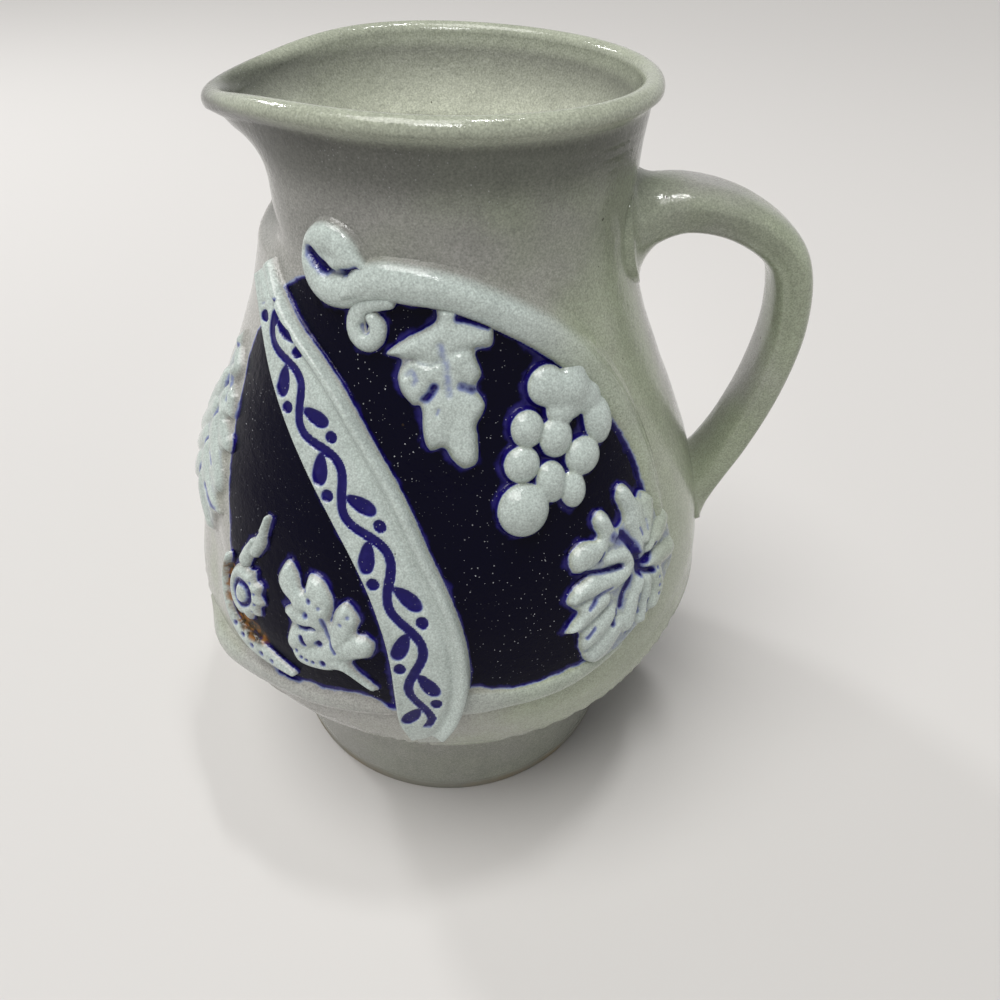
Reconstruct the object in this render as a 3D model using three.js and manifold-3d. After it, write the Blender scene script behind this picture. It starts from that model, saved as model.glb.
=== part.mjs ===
// A stoneware wine jug: a swelling body with a pulled pouring lip, a pulled strap handle,
// and sprigged grapevine reliefs laid on the belly in two mirrored panels, front and back.
// Millimetres, +Z up. The base stands on z = 0 round the jug's own axis. The handle is
// on +X, the lip on -X and the front panel faces -Y.

import * as THREE from "three";
import { mergeVertices } from "three/addons/utils/BufferGeometryUtils.js";
import Module from "manifold-3d";

const wasm = await Module();
wasm.setup();

// Body
const jugHeight = 165;
const baseRadius = 45.3;
const baseBevel = 1;
const footTopRadius = 46.2;
const footHeight = 27;
const ledgeStep = 1.3;
const bellyRadius = 62;
const bellyHeight = 60;
const neckRadius = 35;
const neckDrop = 18;
const rimRadius = 37.5;
const beadRadius = 1.9;
const beadTuck = 0.9;
const beadStart = -27;
const beadEnd = 189;
const wall = 4.5;
const floorThickness = 8;

// beadTuck is how far the neck runs in under the rim's bead, as a share of its radius, and
// the bead's section is an arc between beadStart and beadEnd, in degrees from straight out.

// How long the belly's curves keep the direction of their ends, as shares of their size
const ledgeLean = { out: 0.42, up: 0.28 };
const bellyRound = 0.42;
const shoulderRound = 0.4;
const neckRound = 0.35;
const collarRound = 0.6;

// Pouring lip
const lipReach = 5.6;
const lipDrop = 4.5;
const lipSpread = 26;
const lipHeight = 17;

// Handle
const handleWidth = 17.2;
const handleThickness = 8.6;
const handleFootThickness = 6.6;
const handleReach = 8.5;
const handleTopDrop = 22.4;
const handleFootHeight = 65;
const rootFlare = 5;
const rootLength = 4.5;
const rootSpread = 0.4;
const strapRoundness = 0.75;

// Reliefs
const fitGap = 0.3;
const sprigGap = 0.5;
const bannerDepth = 2;
const vineDepth = 2.2;
const leafDepth = 2;
const frameDepth = 1.6;
const tendrilRadius = 3.1;
const tendrilHole = 0.9;
const tendrilPlace = [-16.3, 132.3];
const rosettePlace = [-38.8, 79];
const rosetteHalfAngle = 5.6;
const rosetteHalfHeight = 6.6;
const grapeRise = 0.62;
const grapeSwell = 1.08;
const padDepth = 0.8;

// Facets
const facetsRound = 60;
const lowerRows = 6;
const upperRows = 12;
const collarRows = 2;
const beadRows = 6;
const handleSteps = 22;
const handleSides = 14;
const tendrilCorners = 14;
const rosetteCorners = 16;

const stoneware = { color: 0xa3ab9c, roughness: 0.28, metalness: 0 };
const reliefGlaze = { color: 0xa9b4b4, roughness: 0.25, metalness: 0 };

function glaze({ color, roughness, metalness }) {
  return new THREE.MeshStandardMaterial({ color, roughness, metalness });
}

// Solids

function solidOf(geometry) {
  const bare = geometry.clone();
  bare.deleteAttribute("normal");
  bare.deleteAttribute("uv");
  const merged = mergeVertices(bare, 1e-4);
  return new wasm.Manifold(
    new wasm.Mesh({
      numProp: 3,
      vertProperties: merged.attributes.position.array,
      triVerts: new Uint32Array(merged.index.array),
    }),
  );
}

function geometryOf(solid) {
  const mesh = solid.getMesh();
  const geometry = new THREE.BufferGeometry();
  geometry.setAttribute("position", new THREE.BufferAttribute(mesh.vertProperties, 3));
  geometry.setIndex(new THREE.BufferAttribute(mesh.triVerts, 1));
  geometry.computeVertexNormals();
  return geometry;
}

// A solid of revolution about +Z from a closed outline of (radius, height) points.
function turned(outline) {
  const geometry = new THREE.LatheGeometry(outline, facetsRound);
  geometry.rotateX(Math.PI / 2);
  return geometry;
}

// Profile of the body's outside

const at = (r, z) => new THREE.Vector2(r, z);
const neckHeight = jugHeight - neckDrop;
const ledge = at(footTopRadius + ledgeStep, footHeight + ledgeStep);
const belly = at(bellyRadius, bellyHeight);
const neck = at(neckRadius, neckHeight);
const beadCentre = at(rimRadius - beadRadius, jugHeight - beadRadius);
const beadFoot = at(rimRadius - beadTuck * beadRadius, jugHeight - 2 * beadRadius);
const swell = bellyRadius - ledge.x;
const bellyRise = bellyHeight - ledge.y;
const shoulder = neckHeight - bellyHeight;
const collar = beadFoot.y - neckHeight;

const lowerCurve = new THREE.CubicBezierCurve(
  ledge,
  at(ledge.x + ledgeLean.out * swell, ledge.y + ledgeLean.up * bellyRise),
  at(bellyRadius, bellyHeight - bellyRound * bellyRise),
  belly,
);
const upperCurve = new THREE.CubicBezierCurve(
  belly,
  at(bellyRadius, bellyHeight + shoulderRound * shoulder),
  at(neckRadius, neckHeight - neckRound * shoulder),
  neck,
);
const collarCurve = new THREE.QuadraticBezierCurve(
  neck,
  at(neckRadius, neckHeight + collarRound * collar),
  beadFoot,
);

const bellyRows = [
  ...lowerCurve.getPoints(lowerRows),
  ...upperCurve.getPoints(upperRows).slice(1),
  ...collarCurve.getPoints(collarRows).slice(1),
];

// Outside radius at a height, along the same straight facets as the body.
function outerRadius(z) {
  const above = bellyRows.findIndex((row) => row.y >= z);
  if (above <= 0) return bellyRows.at(above === 0 ? 0 : -1).x;
  const low = bellyRows[above - 1];
  const high = bellyRows[above];
  return THREE.MathUtils.mapLinear(z, low.y, high.y, low.x, high.x);
}

function beadArc() {
  const arc = new THREE.Path();
  const [start, end] = [beadStart, beadEnd].map(THREE.MathUtils.degToRad);
  arc.absarc(beadCentre.x, beadCentre.y, beadRadius, start, end, false);
  return arc.getPoints(beadRows);
}

function innerWall() {
  const rows = bellyRows.filter((row, i) => i % 2 === 0 && row.y < neckHeight - wall);
  const points = rows.map((row) => at(row.x - wall, row.y));
  return [at(neckRadius - wall, neckHeight + wall), ...points.reverse()];
}

function bodyOutline() {
  return [
    at(0, 0),
    at(baseRadius - baseBevel, 0),
    at(baseRadius, baseBevel),
    at(footTopRadius, footHeight),
    ...bellyRows,
    ...beadArc(),
    ...innerWall(),
    at(footTopRadius - wall, floorThickness + wall),
    at(baseRadius - 2 * wall, floorThickness),
    at(0, floorThickness),
  ];
}

// The lip is pulled out and down where the rim faces -X, and fades away below and beside it.
function pullLip(geometry) {
  const spots = geometry.attributes.position;
  const spread = THREE.MathUtils.degToRad(lipSpread);
  for (let i = 0; i < spots.count; i++) {
    const [x, y, z] = [spots.getX(i), spots.getY(i), spots.getZ(i)];
    const r = Math.hypot(x, y);
    const rise = THREE.MathUtils.smoothstep(z, jugHeight - lipHeight, jugHeight);
    if (r < 1 || rise === 0) continue;
    const away = Math.atan2(y, -x) / spread;
    const pull = lipReach * rise * Math.exp(-away * away);
    const drop = lipDrop * rise * Math.exp(-away * away / 2);
    spots.setXYZ(i, (x * (r + pull)) / r, (y * (r + pull)) / r, z - drop);
  }
  return geometry;
}

function makeBody() {
  return pullLip(turned(bodyOutline()));
}

// The handle's centre line, as shares of the way out from the neck and of the way down.
const bowShares = [
  [-0.08, 0.05], [0.02, 0.035], [0.3, 0], [0.63, 0.03], [0.9, 0.12], [1, 0.28],
  [0.98, 0.465], [0.885, 0.655], [0.75, 0.825], [0.62, 1],
];

function handleBow() {
  const topHeight = jugHeight - handleTopDrop;
  const fall = topHeight - handleFootHeight;
  const span = bellyRadius + handleReach - neckRadius;
  return new THREE.CatmullRomCurve3(
    bowShares.map(([out, down]) => {
      return new THREE.Vector3(neckRadius + out * span, 0, topHeight - down * fall);
    }),
  );
}

// How much thicker the strap is where its clay is wiped out onto the neck and the belly.
function rootThickening(t, length) {
  const nearest = Math.min(t, 1 - t) * length;
  const beyondSkin = Math.max(nearest - rootLength, 0);
  return rootFlare * Math.exp(-((beyondSkin / rootLength) ** 2));
}

// A rounded strap swept along its bow and trimmed to the body's skin.
function makeHandle() {
  const bow = handleBow();
  const length = bow.getLength();
  const corners = [];
  const faces = [];
  const rounded = (value, reach) => Math.sign(value) * Math.abs(value) ** strapRoundness * reach;
  for (let step = 0; step <= handleSteps; step++) {
    const t = step / handleSteps;
    const middle = bow.getPointAt(t);
    const along = bow.getTangentAt(t);
    const thickening = rootThickening(t, length);
    const half = THREE.MathUtils.lerp(handleThickness, handleFootThickness, t) / 2 + thickening;
    const breadth = handleWidth / 2 + rootSpread * thickening;
    for (let k = 0; k < handleSides; k++) {
      const turn = (2 * Math.PI * k) / handleSides;
      const lift = rounded(Math.sin(turn), half);
      const aside = rounded(Math.cos(turn), breadth);
      corners.push(middle.x - along.z * lift, aside, middle.z + along.x * lift);
    }
  }
  const corner = (step, k) => step * handleSides + (k % handleSides);
  for (let step = 0; step < handleSteps; step++) {
    for (let k = 0; k < handleSides; k++) {
      const [a, b] = [corner(step, k), corner(step, k + 1)];
      const [c, d] = [corner(step + 1, k), corner(step + 1, k + 1)];
      faces.push(a, b, d, a, d, c);
    }
  }
  for (let k = 1; k < handleSides - 1; k++) {
    faces.push(corner(0, 0), corner(0, k + 1), corner(0, k));
    faces.push(corner(handleSteps, 0), corner(handleSteps, k), corner(handleSteps, k + 1));
  }
  const geometry = new THREE.BufferGeometry();
  geometry.setAttribute("position", new THREE.Float32BufferAttribute(corners, 3));
  geometry.setIndex(faces);
  return solidOf(geometry).subtract(skinSolid());
}

// Everything inside the body's outer skin, a fit gap larger all round.
function skinSolid() {
  const rows = bellyRows.map((row) => at(row.x + fitGap, row.y));
  const top = rows.at(-1);
  return solidOf(turned([at(0, ledge.y), ...rows, at(0, top.y)]));
}

// Reliefs

// A shell that hugs the body a fit gap away, as deep as the relief is.
function reliefShell(depth) {
  const inside = bellyRows.map((row) => at(row.x + fitGap, row.y));
  const outside = bellyRows.map((row) => at(row.x + fitGap + depth, row.y));
  return solidOf(turned([...outside, ...inside.reverse(), outside[0]]));
}

// Places on the belly are [degrees from the front towards the handle, height]. Their heights
// are drawn for the ledge and neck below, and move with the jug's own ledge and neck.
const drawnLedge = 28.3;
const drawnNeck = 147;

function onJug(z) {
  return THREE.MathUtils.mapLinear(z, drawnLedge, drawnNeck, ledge.y, neck.y);
}

function outlineOf(places, middle) {
  return places.map(([angle, z]) => {
    const turn = THREE.MathUtils.degToRad(angle - middle);
    return at(outerRadius(onJug(z)) * Math.sin(turn), onJug(z));
  });
}

function grown(outline, margin) {
  const side = THREE.ShapeUtils.isClockWise(outline) ? margin : -margin;
  return outline.map((corner, i) => {
    const way = outline[(i + 1) % outline.length].clone().sub(outline.at(i - 1)).normalize();
    return at(corner.x - way.y * side, corner.y + way.x * side);
  });
}

// An outline pushed straight out from the axis, through the belly's wall and past it.
function pushedOut(outline, middle, hole) {
  const shape = new THREE.Shape(outline);
  if (hole) shape.holes.push(hole);
  const prism = new THREE.ExtrudeGeometry(shape, {
    depth: bellyRadius + 2 * wall,
    bevelEnabled: false,
  });
  prism.rotateX(Math.PI / 2);
  prism.rotateZ(THREE.MathUtils.degToRad(middle));
  return solidOf(prism);
}

// Sprigs are laid on one after another, each cut back round those that lie there already.
const laid = [];

function sprig({ places, depth, hole, beads }) {
  const angles = places.map(([angle]) => angle);
  const middle = (Math.min(...angles) + Math.max(...angles)) / 2;
  const outline = outlineOf(places, middle);
  const prism = pushedOut(outline, middle, hole);
  const shell = reliefShell(depth);
  const clay = beads ? shell.add(beads) : shell;
  const piece = laid.reduce((rest, other) => rest.subtract(other), prism.intersect(clay));
  laid.push(pushedOut(grown(outline, sprigGap), middle));
  return piece;
}

// The two edges of a band, from stations of [angle, height, half width].
function band(stations) {
  const left = [];
  const right = [];
  stations.forEach(([angle, z, half], i) => {
    const [a0, z0] = stations[Math.max(i - 1, 0)];
    const [a1, z1] = stations[Math.min(i + 1, stations.length - 1)];
    const perDegree = THREE.MathUtils.degToRad(1) * outerRadius(onJug(z));
    const way = at((a1 - a0) * perDegree, z1 - z0).normalize();
    left.push([angle - (way.y * half) / perDegree, z + way.x * half]);
    right.push([angle + (way.y * half) / perDegree, z - way.x * half]);
  });
  return [...left, ...right.reverse()];
}

const bannerPlaces = [
  [-56, 130.5], [-49.5, 124], [-41.5, 117.5], [-33.5, 111.5], [-22, 102], [-11.5, 90.5],
  [-8, 82], [-6.5, 74.5], [-6, 66], [-7.5, 58], [-7, 50], [-3, 45.5], [2, 47.5], [4.5, 56],
  [6.5, 66], [7, 73], [6.5, 80.5], [4, 91], [-1, 100.5], [-6.5, 109.5], [-16.5, 118],
  [-27, 127], [-38, 130.5], [-48, 135.5],
];

const branchStations = [
  [-17.5, 140, 3], [-7, 141, 3.1], [5, 140, 3.1], [17, 136.5, 3], [30, 131, 2.9],
  [40, 124, 2.8], [47, 116.5, 2.6], [51.5, 108, 2.4], [53, 99, 2.2],
];

const scrollStations = [
  [-19.5, 145.5, 1.1], [-23, 147, 1.3], [-28, 147.5, 1.4], [-32, 145, 1.5], [-32.5, 141, 1.5],
  [-29.5, 138, 1.6], [-25, 137.2, 1.7], [-21, 138, 1.8],
];

const hangingLeafPlaces = [
  [2, 136.3], [-1, 134.5], [-6.5, 132], [-11, 128.8], [-7, 127.8], [-8, 125.5], [-7, 123],
  [-2.5, 121], [-1.5, 116.5], [0, 114], [3, 112], [7.5, 111.5], [10.3, 113], [10.5, 116.5],
  [12, 121], [11, 124.5], [12, 127.2], [11.3, 130], [15.3, 131.5], [15, 133], [11, 134.8],
];

const lobedLeafPlaces = [
  [47, 98], [43, 100.5], [41.5, 98], [41, 95.5], [37.5, 97.5], [35.5, 96.5], [35, 94],
  [31, 94], [28.5, 91.5], [29.5, 88], [31, 86.5], [27.5, 84.5], [27, 82], [28.5, 79.5],
  [27.5, 76], [26, 74], [28, 71.5], [33, 70.5], [40, 72.5], [46, 75], [52, 79], [55.5, 83],
  [54.5, 89], [51, 94.5],
];

const sideLeafPlaces = [
  [-66, 119], [-62, 116], [-61, 111], [-59, 105.5], [-54, 100], [-51.5, 93], [-54, 84.5],
  [-60.5, 77.5], [-68, 79], [-76, 82], [-81, 89], [-79.5, 97], [-76, 104], [-71, 112],
];

const smallLeafPlaces = [
  [-30, 90], [-30.5, 86.5], [-27.5, 84], [-28, 79.5], [-27.5, 74.5], [-25.5, 71.5], [-21, 70.5],
  [-16, 72], [-10, 68], [-9.5, 69], [-14.5, 74], [-11, 76.5], [-10, 80], [-12.5, 81.5], [-13, 84.5],
  [-15, 86], [-18, 83.5], [-18.5, 87], [-21, 89], [-24, 88.5], [-26, 89.5],
];

const budPlaces = [
  [-40, 86.8], [-38.5, 90], [-36.5, 94], [-35, 95.2], [-34.3, 93], [-35, 90], [-36.3, 87],
];

const sepalStations = [
  [-47, 76, 0.8], [-46.8, 72.5, 1.3], [-44.5, 69, 1.8], [-40.5, 67, 2], [-35, 66.6, 1.7],
  [-30, 67.2, 1.1],
];

const lowerFrameNearStations = [
  [-60, 59.5, 1.8], [-53, 57.4, 2.8], [-46, 57.9, 2.8], [-39, 58.9, 2.5], [-32, 59.9, 2.3],
  [-24, 60.7, 2.1], [-18, 61.6, 1.8], [-10, 62.6, 1.1],
];

const lowerFrameFarStations = [
  [9.5, 65.3, 2.8], [14, 65.3, 2.4], [20, 65.3, 2.4], [26, 66.2, 1.9], [32, 67.3, 1.2],
];

const grapes = [
  [31, 123.8, 4], [37.4, 121.7, 3.2], [22.3, 117, 3.3], [29.2, 114.1, 3.5], [41.2, 115.3, 3.8],
  [20.3, 111, 3.5], [35.1, 109.5, 3.5], [26.6, 106.8, 3.4], [31.1, 104.5, 3.2], [19, 103.3, 4.8],
];

const grapePadPlaces = [
  [25.5, 125.5], [30, 128], [36, 126], [42, 121.5], [46.5, 117], [45.5, 112.5], [40.5, 110],
  [39, 106], [35, 102], [30, 101], [26, 102], [23.5, 99], [18, 98.3], [13.6, 101], [13.6, 105.5],
  [15.6, 109], [16, 113], [18.5, 118.5], [22.5, 120.8],
];

function ovalPlaces(angle, z, halfAngle, halfHeight, corners) {
  return Array.from({ length: corners }, (_, i) => {
    const turn = (2 * Math.PI * i) / corners;
    return [angle + halfAngle * Math.cos(turn), z + halfHeight * Math.sin(turn)];
  });
}

function tendril() {
  const [angle, z] = tendrilPlace;
  const halfAngle = THREE.MathUtils.radToDeg(tendrilRadius / outerRadius(onJug(z)));
  const eye = new THREE.Path();
  eye.absarc(0, onJug(z), tendrilHole, 0, 2 * Math.PI, true);
  const places = ovalPlaces(angle, z, halfAngle, tendrilRadius, tendrilCorners);
  return sprig({ places, depth: vineDepth, hole: eye });
}

function rosette() {
  const [angle, z] = rosettePlace;
  const places = ovalPlaces(angle, z, rosetteHalfAngle, rosetteHalfHeight, rosetteCorners);
  return sprig({ places, depth: vineDepth });
}

// Grapes are beads half sunk in the skin, on the thin pad of clay that carries the bunch.
function grapeBunch() {
  const beads = grapes.map(([angle, z, radius]) => {
    const turn = THREE.MathUtils.degToRad(angle);
    const r = outerRadius(onJug(z)) - (1 - grapeRise) * radius;
    const bead = new THREE.IcosahedronGeometry(radius * grapeSwell, 1);
    bead.translate(r * Math.sin(turn), -r * Math.cos(turn), onJug(z));
    return solidOf(bead);
  });
  const bunch = beads.reduce((all, bead) => all.add(bead)).subtract(skinSolid());
  return sprig({ places: grapePadPlaces, depth: padDepth, beads: bunch });
}

const reliefs = {
  banner: () => sprig({ places: bannerPlaces, depth: bannerDepth }),
  vine_branch: () => sprig({ places: band(branchStations), depth: vineDepth }),
  vine_scroll: () => sprig({ places: band(scrollStations), depth: vineDepth }),
  vine_tendril: tendril,
  hanging_leaf: () => sprig({ places: hangingLeafPlaces, depth: leafDepth }),
  grape_bunch: grapeBunch,
  lobed_leaf: () => sprig({ places: lobedLeafPlaces, depth: leafDepth }),
  side_leaf: () => sprig({ places: sideLeafPlaces, depth: leafDepth }),
  rosette,
  bud: () => sprig({ places: budPlaces, depth: frameDepth }),
  sepal: () => sprig({ places: band(sepalStations), depth: frameDepth }),
  small_leaf: () => sprig({ places: smallLeafPlaces, depth: leafDepth }),
  lower_frame_near: () => sprig({ places: band(lowerFrameNearStations), depth: frameDepth }),
  lower_frame_far: () => sprig({ places: band(lowerFrameFarStations), depth: frameDepth }),
};

const jug = new THREE.Group();

function addPiece(name, geometry, look) {
  const mesh = new THREE.Mesh(geometry, glaze(look));
  mesh.name = name;
  jug.add(mesh);
  return mesh;
}

addPiece("body", makeBody(), stoneware);
addPiece("handle", geometryOf(makeHandle()), stoneware);
for (const [name, make] of Object.entries(reliefs)) {
  const geometry = geometryOf(make());
  addPiece("front_" + name, geometry, reliefGlaze);
  addPiece("back_" + name, geometry, reliefGlaze).scale.y = -1;
}

export default jug;
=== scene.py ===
"""Looks of a salt-glazed stoneware jug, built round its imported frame.

The handle is on +X, the pouring lip on -X, and the front panel faces -Y. Places on the jug
are [degrees from the front towards the handle, height]. Lengths are in millimetres until a
mesh is made, and metres in the studio.
"""

import math
from collections import namedtuple

import bpy
import numpy as np
from mathutils import Matrix, Vector


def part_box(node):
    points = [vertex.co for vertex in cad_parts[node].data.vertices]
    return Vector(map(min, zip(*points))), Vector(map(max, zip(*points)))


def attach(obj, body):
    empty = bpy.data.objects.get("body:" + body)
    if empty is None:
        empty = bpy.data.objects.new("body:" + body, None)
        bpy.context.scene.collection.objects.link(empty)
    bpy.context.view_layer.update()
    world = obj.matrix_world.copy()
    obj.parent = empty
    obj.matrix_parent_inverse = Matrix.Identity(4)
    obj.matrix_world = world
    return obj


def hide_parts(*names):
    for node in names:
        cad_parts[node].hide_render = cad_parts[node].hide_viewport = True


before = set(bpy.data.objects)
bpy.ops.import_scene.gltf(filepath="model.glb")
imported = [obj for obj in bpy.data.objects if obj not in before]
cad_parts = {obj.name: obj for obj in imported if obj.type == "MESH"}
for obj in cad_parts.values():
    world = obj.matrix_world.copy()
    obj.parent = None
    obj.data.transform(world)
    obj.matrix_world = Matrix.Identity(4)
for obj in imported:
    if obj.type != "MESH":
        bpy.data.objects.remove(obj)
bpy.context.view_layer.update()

MM = 0.001

# Body sizes. The height and the belly's radius come from the frame.
JUG_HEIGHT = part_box("body")[1].z / MM
BELLY_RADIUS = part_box("body")[1].y / MM
BASE_RADIUS = 45.3
BASE_BEVEL = 1.0
FOOT_TOP = (46.2, 27.0)
LEDGE = (47.5, 28.3)
BELLY_HEIGHT = 60.0
NECK_RADIUS = 35.0
NECK_HEIGHT = JUG_HEIGHT - 18.0
RIM_RADIUS = 37.5
BEAD_RADIUS = 1.9
WALL = 4.5
FLOOR = 8.0

# Radii of the flat discs that close the underside and the floor inside
FOOT_MIDDLE = 18
FLOOR_MIDDLE = 12

# Two lines left by a tool under the rim, strongest at one angle
TOOL_LINES = (156.6, 158.4)
TOOL_LINE_RISE = 0.11
TOOL_LINE_WIDTH = 0.5
TOOL_LINE_ANGLE = 42
TOOL_LINE_SPREAD = 26

# Pouring lip, and the pinch at both sides of the throat below it
LIP_ANGLE = -90
LIP_REACH = 5.1
LIP_DROP = 4.5
LIP_SPREAD = 26
LIP_HEIGHT = 17
LIP_SWELL = 0.5
LIP_SWELL_RISE = (JUG_HEIGHT - 9, JUG_HEIGHT - 4)
PINCH_SIDE = 17
PINCH_SPREAD = 19
PINCH_DEPTH = 2.7
PINCH_RISE = (136.5, 141)
PINCH_FADE = (151, 162)
CREASE_HEIGHT = 141.5
CREASE_DEPTH = 1.5
CREASE_WIDTH = 2.4

# Waves of the wall, as (depth, radians across the jug, radians per millimetre of height, phase)
WAVES = [(0.16, 2.1, 0.045, 0), (0.1, 3.3, -0.06, 1.3), (0.06, 5.2, 0.09, 0.4), (0.04, 1.5, 0.55, 0)]

# The fold in the clay below the panel, as [angle, height], and the clay that sags over it
FOLD = [(-90, 60), (-72, 58), (-58, 54.4), (-42, 52.4), (-30, 53.6), (-21, 53), (-9, 49.8), (-1, 46.4),
        (8, 45.8), (16, 46.4), (27, 48.8), (37, 51), (48, 56), (60, 60), (90, 60)]
FOLD_RISE = 0.4
FOLD_WIDTH = 0.6
SAG_RISE = 0.3

# A flank pressed flatter, at one share of the way across and one height
FLANK_ACROSS = -0.87
FLANK_HEIGHT = 74
FLANK_SPREAD = (0.12, 12)
FLANK_DEPTH = 3.4

# Meshes
ANGLES = 440
RELIEF_STEP = 0.3
FINE_STEP = 0.2
FINE_RELIEFS = ("grape_bunch", "hanging_leaf", "small_leaf", "rosette", "vine_tendril", "bud")
FRINGE_SHIFT = (0.3, -0.2)
BURIED = 0.8
FAR = 6.0

# What the glaze reads at each vertex, and its value on plain glazed clay
GLAZE_FIELDS = {"field": -FAR, "near": FAR, "edge": -FAR, "lift": 0, "stain": 0, "wet": 1, "rust": 0,
                "inside": 0, "plain": 0}


# Profile

def bezier(points, count):
    points = np.array(points, float)
    t = np.linspace(0, 1, count + 1)
    top = len(points) - 1
    weights = [math.comb(top, k) * t**k * (1 - t) ** (top - k) for k in range(top + 1)]
    return np.stack(weights, 1) @ points


def arc(centre, radius, start, end, count):
    turn = np.radians(np.linspace(start, end, count + 1))
    return np.stack([centre[0] + radius * np.cos(turn), centre[1] + radius * np.sin(turn)], 1)


def skin_rows():
    """The body's outside from the ledge to the rim, as (radius, height) rows."""
    swell = BELLY_RADIUS - LEDGE[0]
    rise = BELLY_HEIGHT - LEDGE[1]
    shoulder = NECK_HEIGHT - BELLY_HEIGHT
    bead_foot = (RIM_RADIUS - 0.9 * BEAD_RADIUS, JUG_HEIGHT - 2 * BEAD_RADIUS)
    collar = bead_foot[1] - NECK_HEIGHT
    lower = bezier([LEDGE, (LEDGE[0] + 0.42 * swell, LEDGE[1] + 0.28 * rise),
                    (BELLY_RADIUS, BELLY_HEIGHT - 0.42 * rise), (BELLY_RADIUS, BELLY_HEIGHT)], 34)
    upper = bezier([(BELLY_RADIUS, BELLY_HEIGHT), (BELLY_RADIUS, BELLY_HEIGHT + 0.4 * shoulder),
                    (NECK_RADIUS, NECK_HEIGHT - 0.35 * shoulder), (NECK_RADIUS, NECK_HEIGHT)], 100)
    neck = bezier([(NECK_RADIUS, NECK_HEIGHT), (NECK_RADIUS, NECK_HEIGHT + 0.6 * collar), bead_foot], 36)
    return np.vstack([lower, upper[1:], neck[1:]])


SKIN = skin_rows()


def radius_at(z):
    return np.interp(z, SKIN[:, 1], SKIN[:, 0])


def slope_at(z):
    return radius_at(z + 0.5) - radius_at(z - 0.5)


def smoothstep(x, low, high):
    t = np.clip((x - low) / (high - low), 0, 1)
    return t * t * (3 - 2 * t)


def between(x, rise, fade):
    """0 up to the rise, 1 between it and the fade, and 0 after that."""
    return smoothstep(x, *rise) * (1 - smoothstep(x, *fade))


def bell(x, width):
    """1 at zero, almost nothing past twice the width on either side."""
    return np.exp(-((x / width) ** 2))


def turned_from(angle, middle):
    """Degrees from the middle to the angle, between -180 and 180."""
    return (angle - middle + 180) % 360 - 180


def mirrored_angle(angle):
    """The front panel's angle for any place round the jug."""
    turned = turned_from(angle, 0)
    return np.where(np.abs(turned) <= 90, turned, turned_from(180, angle))


def wobble(angle, z):
    """Hand-made unevenness of the wall, in mm outwards, with the throat pinched by the lip."""
    across = np.sin(np.radians(angle))
    uneven = sum(depth * np.sin(wide * across + tall * z + phase) for depth, wide, tall, phase in WAVES)
    shown = bell(turned_from(angle, TOOL_LINE_ANGLE), TOOL_LINE_SPREAD)
    for height in TOOL_LINES:
        uneven = uneven + TOOL_LINE_RISE * shown * bell(z - height, TOOL_LINE_WIDTH)
    above = z - np.interp(mirrored_angle(angle), *zip(*FOLD))
    uneven = uneven + FOLD_RISE * bell(above, FOLD_WIDTH)
    uneven = uneven + SAG_RISE * between(above, (-0.6, 0.4), (2, 6))
    pinch = bell(np.abs(turned_from(angle, LIP_ANGLE)) - PINCH_SIDE, PINCH_SPREAD)
    throat = PINCH_DEPTH * between(z, PINCH_RISE, PINCH_FADE)
    crease = CREASE_DEPTH * bell(z - CREASE_HEIGHT, CREASE_WIDTH)
    flank = bell(across - FLANK_ACROSS, FLANK_SPREAD[0]) * bell(z - FLANK_HEIGHT, FLANK_SPREAD[1])
    return uneven - pinch * (throat + crease) - FLANK_DEPTH * flank


def on_skin(angle, z, lift=0.0):
    """Points on the jug's outside, lifted along its normal."""
    turn = np.radians(angle)
    slope = slope_at(z)
    length = np.sqrt(1 + slope**2)
    lift = lift + wobble(angle, z)
    out = radius_at(z) + lift / length
    return np.stack([out * np.sin(turn), -out * np.cos(turn), z - lift * slope / length], -1)


def on_line(line):
    """Points on the skin under a line of [angle, height] places."""
    return on_skin(line[:, 0], line[:, 1])


def run_along(line):
    """How far each point of a line lies from its start."""
    return np.concatenate([[0], np.cumsum(np.linalg.norm(np.diff(line, axis=0), axis=1))])


def smooth_line(points, closed=False, per=6):
    """A Catmull-Rom curve through the points."""
    p = np.array(points, float)
    if closed:
        p = np.vstack([p[-1], p, p[0], p[1]])
    else:
        p = np.vstack([2 * p[0] - p[1], p, 2 * p[-1] - p[-2]])
    t = np.linspace(0, 1, per, endpoint=False)[:, None]
    runs = [0.5 * (2 * b + (c - a) * t + (2 * a - 5 * b + 4 * c - d) * t**2
                   + (3 * b - a - 3 * c + d) * t**3)
            for a, b, c, d in zip(p[:-3], p[1:-2], p[2:-1], p[3:])]
    if not closed:
        runs.append(p[-2][None])
    return np.vstack(runs)


# Distances over the skin

def nearest(points, line):
    """Distance from each point to a polyline in space, how far along it is, and its side."""
    best = np.full(len(points), 1e9)
    along = np.zeros(len(points))
    side = np.ones(len(points))
    done = 0.0
    if len(line) == 1:
        return np.linalg.norm(points - line[0], axis=1), along, side
    for a, b in zip(line[:-1], line[1:]):
        step = b - a
        length = max(np.linalg.norm(step), 1e-6)
        t = np.clip((points - a) @ step / length**2, 0, 1)
        offset = points - a - t[:, None] * step
        gap = np.linalg.norm(offset, axis=1)
        closer = gap < best
        best = np.where(closer, gap, best)
        along = np.where(closer, done + t * length, along)
        left = np.cross([a[0], a[1], 0.0], step)
        side = np.where(closer, np.sign(offset @ left), side)
        done += length
    return best, along, side


def inside(angle, z, outline):
    found = np.zeros(len(angle), bool)
    for (a0, z0), (a1, z1) in zip(outline, np.roll(outline, -1, axis=0)):
        if z0 == z1:
            continue
        crossed = (z0 > z) != (z1 > z)
        found ^= crossed & (angle < a0 + (z - z0) * (a1 - a0) / (z1 - z0))
    return found


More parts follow.
